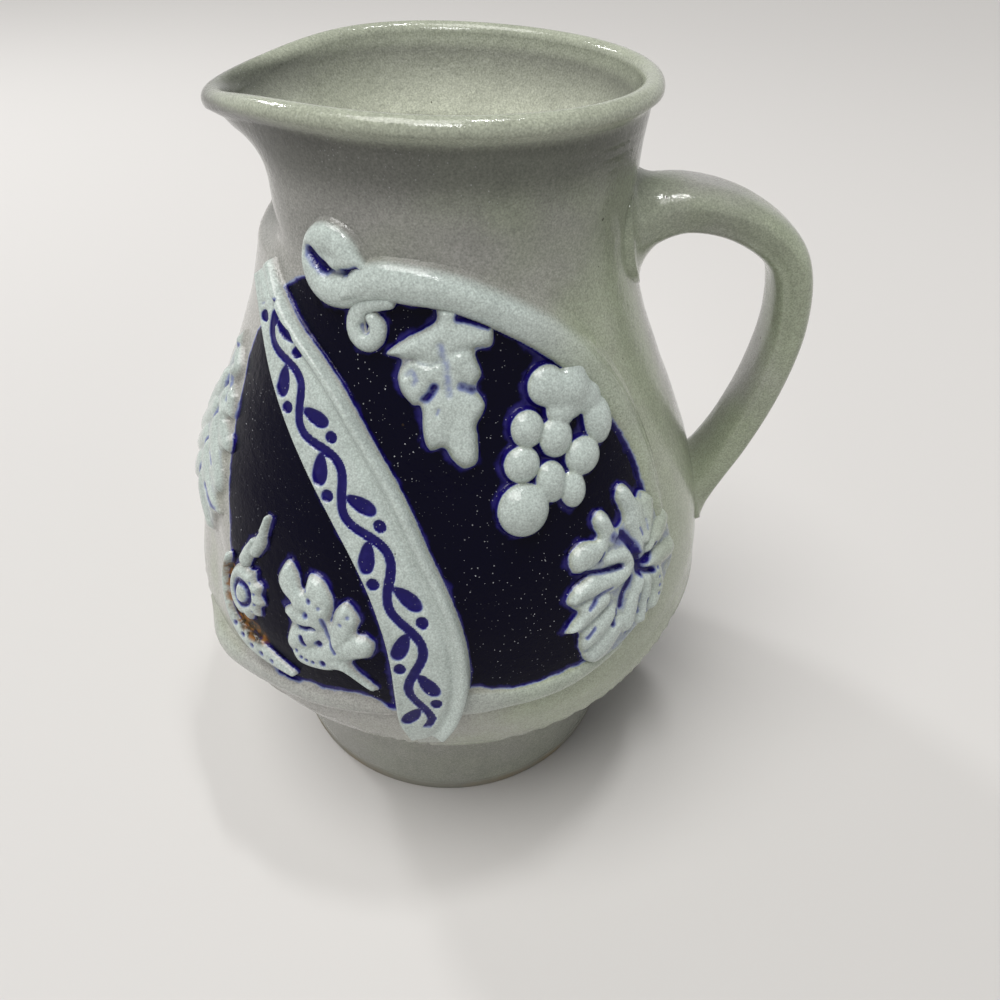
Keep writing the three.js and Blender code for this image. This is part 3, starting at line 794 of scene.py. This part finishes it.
BANNER_LEFT = [
    (-60, 133.5), (-56.5, 130.6), (-49.5, 124), (-41.5, 117.6), (-33.6, 111.6), (-27.8, 107.2),
    (-21.8, 102), (-15.8, 95.8), (-11.6, 89.6), (-8.6, 82.4), (-7, 74.7), (-6.4, 67), (-6, 61),
    (-4.4, 55), (-3, 50)]
BANNER_RIGHT = [
    (-52, 138.2), (-46.5, 135), (-38.1, 130.4), (-28.6, 126.2), (-21, 121.6), (-14.2, 116),
    (-8, 110), (-3.6, 104.4), (-0.4, 98.8), (2.6, 93.2), (5.2, 87), (6.9, 80.5), (7.5, 73.6),
    (7, 67), (5.6, 61), (3.2, 55), (2, 50)]
BANNER_HEIGHT = 2.0
BANNER_END = 55.5
MOTIF_PITCH = 8.6
MOTIF_LINE = 5.3
MOTIF_BEND = 1.9
STEM_HALF = 0.9
LEAF_SIZE = (3.3, 1.6)
LEAF_LEAN = 34
BERRY_RADIUS = 1.15


def running_pattern(along, across):
    """A winding stem with one leaf and one berry in each bend, 1 on the motif and 0 off it."""
    turn = np.pi * along / MOTIF_PITCH
    stem = MOTIF_BEND * np.sin(turn)
    steep = np.sqrt(1 + (MOTIF_BEND * np.pi / MOTIF_PITCH * np.cos(turn)) ** 2)
    found = smoothstep(STEM_HALF - np.abs(across - stem) / steep, -0.2, 0.2)
    for bend in range(int(along.max() / MOTIF_PITCH) + 1):
        side = 1 if bend % 2 else -1
        x, y = along - (bend + 0.42) * MOTIF_PITCH, across - MOTIF_BEND * side
        lean = math.radians(LEAF_LEAN) * side
        u, v = x * math.cos(lean) + y * math.sin(lean), -x * math.sin(lean) + y * math.cos(lean)
        u = u / LEAF_SIZE[0]
        blade = 1 - np.hypot(u, v / (LEAF_SIZE[1] * (1 + 0.25 * u)))
        found = np.maximum(found, smoothstep(blade, -0.08, 0.25))
        away = np.hypot(along - (bend + 0.96) * MOTIF_PITCH, across - 3 * side)
        found = np.maximum(found, smoothstep(BERRY_RADIUS - away, -0.2, 0.2))
    return found


def make_banner():
    """A flat ribbon with raised edges, the right one rolled, and the pattern sunk in it."""
    left, right = smooth_line(BANNER_LEFT), smooth_line(BANNER_RIGHT)

    def shape(a, z, skin, gap):
        from_left, along, _ = nearest(skin, on_line(left))
        from_right = nearest(skin, on_line(right))[0]
        fold = smoothstep(z + 0.35 * np.abs(a - 1.6), BANNER_END, BANNER_END + 0.9)
        lift = (BANNER_HEIGHT - FOOT_LIFT) * edge_rise(gap, 1) * (0.35 + 0.65 * fold)
        body = smoothstep(gap, 0.2, 0.9)
        rolled = 0.95 * bell(from_right - 1.5, 0.95) * smoothstep(along, 0, 8)
        hem = 0.3 * bell(from_left - 0.9, 0.7)
        lift = lift + body * fold * (rolled + hem - 0.5 * bell(from_right - 3.4, 0.8))
        motif = running_pattern(along, from_left - MOTIF_LINE) * body
        motif = motif * smoothstep(along, 5, 7) * smoothstep(z, 59, 61)
        stain = np.maximum(0.97 * motif, 0.2 * body * bell(from_right - 3.3, 0.5))
        return fillet(gap, lift - 0.4 * motif), stain, BANNER_HEIGHT

    outline_sprig("banner", np.vstack([left, right[::-1]]), shape)


# Frame of the panel's lower edge

NEAR_FRAME = [(-61, 57.4, 0.8), (-57, 56.8, 1.9), (-52, 57, 2.9), (-46, 57.7, 3.2), (-39, 58.9, 2.9),
              (-32, 59.9, 2.6), (-24, 60.7, 2.5), (-16, 61.8, 2.3), (-8, 62.2, 1.6), (-4, 62.3, 0.9)]
FAR_FRAME = [(3, 65, 3.2), (9, 65.2, 3.2), (14, 65.3, 2.6), (20, 65.4, 2.5), (26, 66, 2.4),
             (32, 67.4, 1.8), (38, 69.3, 1)]

# How far a relief keeps the body's colour, and the angles between which that sets in
PLAIN = {"vine_branch": (0.8, 16, 46), "lobed_leaf": (0.6, 43, 52), "lower_frame_near": (0.75, -91, -90),
         "lower_frame_far": (0.6, -91, -90)}


# Sprig meshes

SHEET_MARGIN = 1.2


def sheet_faces(quads, count):
    """Closes a sheet of quads with its copy below, whose vertices follow on, and with sides."""
    edges = np.concatenate([quads[:, [k, (k + 1) % 4]] for k in range(4)])
    key = edges[:, 0] * count + edges[:, 1]
    rim = edges[~np.isin(key, edges[:, 1] * count + edges[:, 0])]
    sides = np.stack([rim[:, 1], rim[:, 0], rim[:, 0] + count, rim[:, 1] + count], 1)
    return np.vstack([quads, quads[:, ::-1] + count, sides])


def make_sprig(item):
    """Builds one relief on the front panel, and its mirror image on the back."""
    low, high = item.low, item.high
    step = FINE_STEP if item.name in FINE_RELIEFS else RELIEF_STEP
    step_angle = np.degrees(step / radius_at(0.5 * (low[1] + high[1])))
    angles = np.arange(low[0] - 2 * SHEET_MARGIN, high[0] + 2 * SHEET_MARGIN, step_angle)
    heights = np.arange(low[1] - SHEET_MARGIN, high[1] + SHEET_MARGIN, step)
    a, z = [g.ravel() for g in np.meshgrid(angles, heights)]
    skin = on_skin(a, z)
    gap = item.find_gap(a, z, skin)
    lift, stain, top = item.shape(a, z, skin, gap)
    keep = lift > SUNK_LIFT + 0.08
    quads = grid_quads(len(heights), len(angles), closed=False)
    used, quads = np.unique(quads[keep[quads].any(1)], return_inverse=True)
    a, z, skin, lift, stain, gap = [value[used] for value in (a, z, skin, lift, stain, gap)]
    points = np.vstack([on_skin(a, z, lift), on_skin(a, z, -BURIED)])
    faces = sheet_faces(quads.reshape(-1, 4), len(used))
    u = (a - angles[0]) / (angles[-1] - angles[0])
    v = (z - heights[0]) / (heights[-1] - heights[0])
    uv = np.vstack([np.stack([0.94 * u, v], 1), np.stack([0.96 + 0.04 * u, v], 1)])
    field = signed_distance(a, z, skin, FIELD)
    plain, start, end = PLAIN.get(item.name, (0, 0, 1))
    fields = {"field": field, "edge": field, "near": np.clip(-gap, -FAR, FAR), "stain": stain,
              "lift": np.clip(lift / top, 0, 1), "rust": rust_near(skin) * item.rusty,
              "plain": plain * smoothstep(a, start, end)}
    fields = {key: np.tile(value, 2) for key, value in fields.items()}
    mirror = points * [1, -1, 1]
    for side, corners, order in (("front", points, faces), ("back", mirror, faces[:, ::-1])):
        piece = make_mesh(f"{side}_{item.name}", corners, order, (), fields, uv)
        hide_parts(f"{side}_{item.name}")
        finish_piece(piece, "sprig_glaze")


# Handle

BOW = [(-0.08, 0.05), (0.02, 0.035), (0.3, 0), (0.63, 0.03), (0.9, 0.12), (1, 0.28),
       (0.98, 0.465), (0.885, 0.655), (0.75, 0.825), (0.62, 1)]
HANDLE_WIDTH = 17.2
HANDLE_THICK = (8.4, 6.4)
HANDLE_TOP = JUG_HEIGHT - 22.4
HANDLE_FOOT = 65
HANDLE_REACH = 8.5
HANDLE_SWAY = 0.25
HANDLE_RIPPLE = 0.16
HANDLE_NARROWING = 0.06
TAIL_RUN = (0.93, 1)
ROOT_FLARE = (5.5, 2.4)
ROOT_SWELL = (3.8, 1.4)
ROOT_REACH = 6
ROOT_ASIDE = 0.6
ROOT_DEPTH = 2.5
ROUNDNESS = 0.72
HOLLOW_DEPTH = 0.12
HOLLOW_START = (0.02, 0.16)
HOLLOW_END = (0.7, 0.93)
HANDLE_RINGS = 220
ROOT_CROWDING = 0.75
HANDLE_SIDES = 72


def make_handle():
    span = BELLY_RADIUS + HANDLE_REACH - NECK_RADIUS
    fall = HANDLE_TOP - HANDLE_FOOT
    bow = smooth_line([(NECK_RADIUS + out * span, HANDLE_TOP - down * fall) for out, down in BOW], per=40)
    path = run_along(bow)
    # Rings stand closer together at both roots.
    t = np.linspace(0, 1, HANDLE_RINGS)
    t = t - ROOT_CROWDING / (2 * np.pi) * np.sin(2 * np.pi * t)
    middle = np.stack([np.interp(t * path[-1], path, bow[:, k]) for k in (0, 1)], 1)
    way = np.gradient(middle, axis=0)
    way /= np.linalg.norm(way, axis=1)[:, None]
    turn = np.linspace(0, 2 * np.pi, HANDLE_SIDES, endpoint=False)
    uv = np.stack([np.tile(turn / (2 * np.pi), HANDLE_RINGS), np.repeat(t, HANDLE_SIDES)], 1)
    t = t[:, None]
    tail = 1 - smoothstep(t, *TAIL_RUN)
    sine, cosine = [np.sign(wave) * np.abs(wave) ** ROUNDNESS for wave in (np.sin(turn), np.cos(turn))]
    up = np.interp(t, (0, 1), HANDLE_THICK) / 2 * (0.4 + 0.6 * tail) * sine
    up = up + HANDLE_RIPPLE * np.cos(3 * turn) * np.sin(turn) * np.sin(5 * t)
    hollow = HOLLOW_DEPTH * between(t, HOLLOW_START, HOLLOW_END) * bell(np.sin(turn) + 0.3, 0.34)
    aside = 0.5 * HANDLE_WIDTH * (1 - HANDLE_NARROWING * t) * cosine * (1 - hollow)
    outward = [-way[:, 1:], way[:, :1]]
    x = middle[:, :1] + outward[0] * up
    y = aside + HANDLE_SWAY * np.sin(7 * t + 0.6)
    z = middle[:, 1:] + outward[1] * up
    # Both roots swell into the wall in a hollow curve.
    gap = np.hypot(x, y) - radius_at(z)
    flare = np.interp(t, (0, 1), ROOT_FLARE) * (0.02 + 0.98 * tail)
    flare = flare * (1 - np.sqrt(1 - (1 - np.clip(gap / flare, 0, 1)) ** 2))
    flare = flare + np.interp(t, (0, 1), ROOT_SWELL) * tail * np.exp(-np.maximum(gap, 0) / ROOT_REACH)
    flare = flare / (np.hypot(up, aside) + 1e-6)
    x = x + outward[0] * flare * up
    z = z + outward[1] * flare * up
    y = y + ROOT_ASIDE * flare * aside
    push = np.maximum((radius_at(z) - ROOT_DEPTH) / np.hypot(x, y), 1)
    points = np.stack([x * push, y * push, z], -1).reshape(-1, 3)
    caps = [cap[::-1] for cap in end_caps(HANDLE_RINGS, HANDLE_SIDES)]
    return make_mesh("jug_handle", points, grid_quads(HANDLE_RINGS, HANDLE_SIDES)[:, ::-1], caps, {}, uv)


# Materials

class Graph:
    """Adds nodes to the tree of one material or world, in front of its last shader."""

    def __init__(self, owner, shader):
        owner.use_nodes = True
        self.owner = owner
        self.tree = owner.node_tree
        self.shader = self.tree.nodes[shader]

    def put(self, node, values):
        """Links each value that is a socket, and sets the others."""
        for key, value in values.items():
            if isinstance(value, bpy.types.NodeSocket):
                self.tree.links.new(value, node.inputs[key])
            else:
                node.inputs[key].default_value = value

    def add(self, kind, values, **settings):
        node = self.tree.nodes.new("ShaderNode" + kind)
        for key, value in settings.items():
            setattr(node, key, value)
        self.put(node, values)
        return node

    def math(self, operation, a, b=0.0, c=0.0):
        return self.add("Math", {0: a, 1: b, 2: c}, operation=operation).outputs[0]

    def times(self, a, b):
        return self.math("MULTIPLY", a, b)

    def swing(self, noise, reach):
        """Noise as a value between minus and plus the reach."""
        return self.math("MULTIPLY_ADD", noise, 2 * reach, -reach)

    def remap(self, value, low, high, to_low=0.0, to_high=1.0, smooth=True):
        kind = "SMOOTHSTEP" if smooth else "LINEAR"
        node = self.add("MapRange", {"Value": value, "From Min": low, "From Max": high,
                                     "To Min": to_low, "To Max": to_high}, interpolation_type=kind)
        return node.outputs["Result"]

    def mix(self, factor, a, b, blend="MIX"):
        node = self.add("Mix", {"Factor": factor, 6: a, 7: b}, data_type="RGBA", blend_type=blend)
        return node.outputs[2]

    def shifted(self, offset):
        return self.add("VectorMath", {0: self.place, 1: (offset,) * 3}, operation="ADD").outputs[0]

    def noise(self, scale, detail=2, offset=0):
        node = self.add("TexNoise", {"Vector": self.shifted(offset), "Scale": scale, "Detail": detail})
        return node.outputs["Fac"]

    def cells(self, scale, offset=0):
        return self.add("TexVoronoi", {"Vector": self.shifted(offset), "Scale": scale})

    def attribute(self, name):
        return self.add("Attribute", {}, attribute_name=name).outputs["Fac"]


GREEN_GREY = (0.335, 0.372, 0.275, 1)
# Paler grey of the inside, painted light
INSIDE_PAINTED_LIGHT = (0.64, 0.665, 0.55, 1)
# Painted shade for the neck and the cove under the rim bead
COVE_PAINTED_SHADE = (0.07, 0.072, 0.062, 1)
RIM_GREY = (0.29, 0.31, 0.245, 1)
FOOT_GREY = (0.24, 0.245, 0.215, 1)
LILAC_GREY = (0.35, 0.348, 0.325, 1)
PALE = (0.465, 0.525, 0.495, 1)
BARE_CLAY = (0.235, 0.23, 0.195, 1)
FOOT_STAIN = (0.25, 0.205, 0.13, 1)
BLUE_TINT = (0.20, 0.24, 0.42, 1)
VIVID_BLUE = (0.010, 0.006, 0.12, 1)
DARK_COBALT = (0.0012, 0.0009, 0.0085, 1)
# Colour of the painted glints
PAINTED_GLINT_COLOUR = (0.62, 0.64, 0.66, 1)
IRON = (0.03, 0.02, 0.013, 1)
RUST = (0.26, 0.115, 0.03, 1)
BURNT = (0.045, 0.035, 0.022, 1)


# Heights at which a tone of the outside starts and is full, and how strong it gets: painted shade on the
# neck and in the cove under the rim, the rim's own grey, and the foot darker towards the bottom
SHADES = [(130, 150, 0.4, COVE_PAINTED_SHADE), (149, 157, 0.8, COVE_PAINTED_SHADE), (159.8, 162.2, 1, RIM_GREY),
          (29, 20, 0.7, FOOT_GREY)]
# Amounts of cobalt at which each blue starts and is full
COBALT_STEPS = [(0.02, 0.26, BLUE_TINT), (0.2, 0.48, VIVID_BLUE), (0.46, 0.94, DARK_COBALT)]


def spots(g, scale, share, size, offset=0):
    """Scattered round specks: a share of the cells holds one, of up to the given size."""
    cell = g.cells(scale, offset)
    hue = g.add("SeparateColor", {0: cell.outputs["Color"]})
    chosen = g.math("LESS_THAN", hue.outputs[0], share)
    edge = g.math("MULTIPLY_ADD", hue.outputs[1], 0.7 * size, 0.3 * size)
    return g.times(g.math("LESS_THAN", cell.outputs["Distance"], edge), chosen)


def clay_colour(g, lift, wet, pale):
    """Grey glaze that turns from green to lilac round the jug, paler on the reliefs, with painted shade on
    the neck and painted light inside.
    """
    x, y, height = g.add("SeparateXYZ", {0: g.place}).outputs
    turn = g.times(g.times(x, y), 200)
    turn = g.math("ADD", g.noise(24, 3), g.math("MINIMUM", g.math("MAXIMUM", turn, -0.12), 0.12))
    clay = g.mix(g.remap(turn, 0.38, 0.62), GREEN_GREY, LILAC_GREY)
    # Painted shade darkens the neck towards the rim and most in the cove under its bead; the rim takes its
    # own grey and the foot gets darker towards the bottom.
    for start, full, strength, shade in SHADES:
        clay = g.mix(g.remap(height, start * MM, full * MM, 0, strength), clay, shade)
    # Painted light: the inside turns paler, as if lit through the mouth.
    clay = g.mix(g.attribute("inside"), clay, INSIDE_PAINTED_LIGHT)
    shown = g.math("SUBTRACT", 1, g.attribute("plain"))
    clay = g.mix(g.times(g.remap(lift, 0.2, 0.8, 0, pale), shown), clay, PALE)
    cloud = g.remap(g.noise(160, 3, 8.2), 0.3, 0.7, 0.93, 1.06, smooth=False)
    mottle = g.remap(g.noise(1300), 0.3, 0.7, 0.92, 1.08, smooth=False)
    grain = g.remap(g.noise(3000, 2, 3.1), 0.3, 0.7, 0.78, 1.22, smooth=False)
    tone = g.times(g.times(mottle, grain), cloud)
    clay = g.mix(1, clay, g.add("CombineColor", {0: tone, 1: tone, 2: tone}).outputs[0], "MULTIPLY")
    stained = g.times(g.remap(g.noise(55, 4, 7.7), 0.5, 0.72), g.math("SUBTRACT", 1, wet))
    return g.mix(wet, g.mix(stained, BARE_CLAY, FOOT_STAIN), clay)


def cobalt_amount(g, field, near, edge, lift, stain):
    """0 on bare glaze, about a half where the cobalt thins round each relief, 1 in the field."""
    painted = g.remap(g.math("ADD", field, g.swing(g.noise(380, 3, 1.7), 0.7)), -0.5, 0.5)
    reach = g.swing(g.noise(300, 3, 9.3), 1.6)
    thin = g.remap(g.math("ADD", near, reach), -0.4, 1.3, 0.5, 1)
    rim = g.remap(g.math("ADD", edge, reach), -0.2, 1.6, 0.5, 1)
    low = g.swing(g.noise(800, 2, 5.2), 0.11)
    ground = g.remap(g.math("ADD", lift, low), 0.4, 0.08)
    painted = g.times(g.times(painted, g.math("MINIMUM", thin, rim)), ground)
    pooled = g.times(stain, g.remap(g.noise(640, 3, 2.3), 0.25, 0.6, 0.75, 1))
    return g.math("MAXIMUM", painted, g.remap(pooled, 0.1, 0.95, 0, 0.62))


def salt_surface(g, wet, cobalt, gloss):
    """The orange-peel surface of salt glaze, with pin holes, rough where the clay is bare."""
    holes = g.remap(g.cells(480).outputs["Distance"], 0, 0.16, -1, 0)
    height = g.math("MULTIPLY_ADD", g.noise(2600, 2, 4.4), 0.35, g.noise(620, 3, 0.9))
    height = g.math("MULTIPLY_ADD", holes, 0.2, height)
    bump = g.add("Bump", {"Strength": 0.6, "Distance": 0.00018, "Height": height})
    rough = g.remap(g.noise(1100, 3, 6.1), 0.3, 0.7, *gloss)
    rough = g.math("ADD", rough, g.remap(cobalt, 0.3, 0.8, 0, -0.06))
    g.put(g.shader, {"Normal": bump.outputs["Normal"], "IOR": 1.45,
                     "Roughness": g.math("MAXIMUM", rough, g.remap(wet, 0, 1, 0.75, 0)),
                     "Specular IOR Level": g.remap(cobalt, 0.3, 0.8, 0.5, 0.11)})


def glaze_material(name, pale, gloss):
    g = Graph(bpy.data.materials.new(name), "Principled BSDF")
    g.place = g.add("TexCoord", {}).outputs["Object"]
    lift, wet = g.attribute("lift"), g.attribute("wet")
    colour = clay_colour(g, lift, wet, pale)
    cobalt = cobalt_amount(g, *[g.attribute(key) for key in ("field", "near", "edge")], lift,
                           g.attribute("stain"))
    for start, full, blue in COBALT_STEPS:
        colour = g.mix(g.remap(cobalt, start, full), colour, blue)
    rust = g.times(g.attribute("rust"), g.remap(g.noise(600, 3, 4.1), 0.35, 0.6, 0.6, 1.2))
    burnt = g.mix(g.remap(g.noise(420, 3, 2.8), 0.44, 0.6), RUST, BURNT)
    colour = g.mix(g.remap(rust, 0.15, 0.8), colour, burnt)
    # Painted glints: bright specks in clusters, mostly on the cobalt, stand in for light caught on the
    # glaze.
    cluster = g.remap(g.noise(90, 3, 6.6), 0.42, 0.66, 0.15, 1)
    fine_painted_glint = g.times(spots(g, 1500, 0.55, 0.2, 1.1), 0.6)
    painted_glint = g.times(g.math("MAXIMUM", spots(g, 620, 0.16, 0.095), fine_painted_glint), cluster)
    painted_glint = g.times(g.times(painted_glint, wet), g.remap(cobalt, 0.1, 0.6, 0.35, 0.85))
    colour = g.mix(painted_glint, colour, PAINTED_GLINT_COLOUR)
    colour = g.mix(g.times(spots(g, 150, 0.3, 0.05, 2.9), 0.8), colour, IRON)
    g.put(g.shader, {"Base Color": colour})
    salt_surface(g, wet, cobalt, gloss)
    return g.owner


BODY_GLAZE = glaze_material("salt_glaze", 0.35, (0.04, 0.16))
SPRIG_GLAZE = glaze_material("sprig_glaze", 1.0, (0.03, 0.13))


def finish_piece(piece, slot):
    piece.data.materials.append(BODY_GLAZE if slot == "salt_glaze" else SPRIG_GLAZE)
    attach(piece, "root")


# Camera, at the photograph's place

CAMERA_PLACE = Vector((11.56, -146.3, 193.1)) * MM
CAMERA_DOWN, CAMERA_YAW, CAMERA_ROLL = 41.21, 0.37, 2.41
CAMERA_FOCAL_PIXELS = 751
IMAGE_PIXELS = 1000
SENSOR_WIDTH = 36


def make_camera():
    data = bpy.data.cameras.new("camera")
    data.sensor_width = SENSOR_WIDTH
    data.lens = SENSOR_WIDTH * CAMERA_FOCAL_PIXELS / IMAGE_PIXELS
    data.clip_start = 10 * MM
    camera = place_object("camera", data)
    aim = Matrix.Translation(CAMERA_PLACE)
    for degrees, axis in ((-CAMERA_YAW, "Z"), (90 - CAMERA_DOWN, "X"), (CAMERA_ROLL, "Z")):
        aim = aim @ Matrix.Rotation(math.radians(degrees), 4, axis)
    camera.matrix_world = aim
    bpy.context.scene.camera = camera


# Studio

FLOOR_HALF = 12
FLOOR_COLOUR = (0.6, 0.588, 0.574, 1)
HORIZON = (0.62, 0.615, 0.605, 1)
OVERHEAD = (0.09, 0.09, 0.1, 1)
SKY_FADE = (0.26, 0.55)
MIDDLE = (0, 0, 0)

# An even soft light from above the front, a fill for the mouth and two small lamps for glints,
# as (name, kind, place, target, settings)
LAMPS = [
    ("soft_sky", "SUN", (-0.26, -0.18, 1), MIDDLE,
     {"energy": 2.5, "angle": math.radians(40), "color": (1, 0.985, 0.96)}),
    ("mouth_fill", "SPOT", (0, -0.12, 0.3), (0, 0.036, 0.135),
     {"energy": 0.85, "spot_size": math.radians(44), "spot_blend": 1, "shadow_soft_size": 0.03}),
    ("window", "AREA", (-0.74, 0.55, 0.75), MIDDLE,
     {"energy": 3.2, "shape": "RECTANGLE", "size": 0.12, "size_y": 0.08}),
    ("ceiling_lamp", "AREA", (0.19, 0.13, 1.25), MIDDLE,
     {"energy": 2.8, "shape": "RECTANGLE", "size": 0.15, "size_y": 0.05})]


def make_floor():
    mesh = bpy.data.meshes.new("floor")
    corners = [(x * FLOOR_HALF, y * FLOOR_HALF, 0) for x, y in ((-1, -1), (1, -1), (1, 1), (-1, 1))]
    mesh.from_pydata(corners, [], [(0, 1, 2, 3)])
    floor = place_object("floor", mesh)
    g = Graph(bpy.data.materials.new("pale_floor"), "Principled BSDF")
    g.put(g.shader, {"Base Color": FLOOR_COLOUR, "Roughness": 0.85})
    floor.data.materials.append(g.owner)


def make_world():
    """A pale horizon all round, which darkens overhead."""
    g = Graph(bpy.data.worlds.new("studio"), "Background")
    way = g.add("SeparateXYZ", {0: g.add("TexCoord", {}).outputs["Generated"]})
    g.put(g.shader, {"Color": g.mix(g.remap(way.outputs["Z"], *SKY_FADE), HORIZON, OVERHEAD)})
    bpy.context.scene.world = g.owner


def make_lamps():
    for name, kind, place, target, settings in LAMPS:
        data = bpy.data.lights.new(name, kind)
        for key, value in settings.items():
            setattr(data, key, value)
        lamp = place_object(name, data)
        lamp.location = place
        lamp.rotation_euler = (Vector(target) - Vector(place)).to_track_quat("-Z", "Y").to_euler()


make_camera()
make_floor()
make_world()
make_lamps()

make_vine()
make_leaves()
make_flower()
make_grapes()
make_banner()
rope_sprig("lower_frame_near", [NEAR_FRAME], 2.9, taper=2.2)
rope_sprig("lower_frame_far", [FAR_FRAME], 1.1)

body = make_body()
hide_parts("body")
finish_piece(body, "salt_glaze")
handle = make_handle()
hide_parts("handle")
finish_piece(handle, "salt_glaze")

for item in SPRIGS:
    make_sprig(item)

bpy.context.scene.view_settings.view_transform = "Standard"
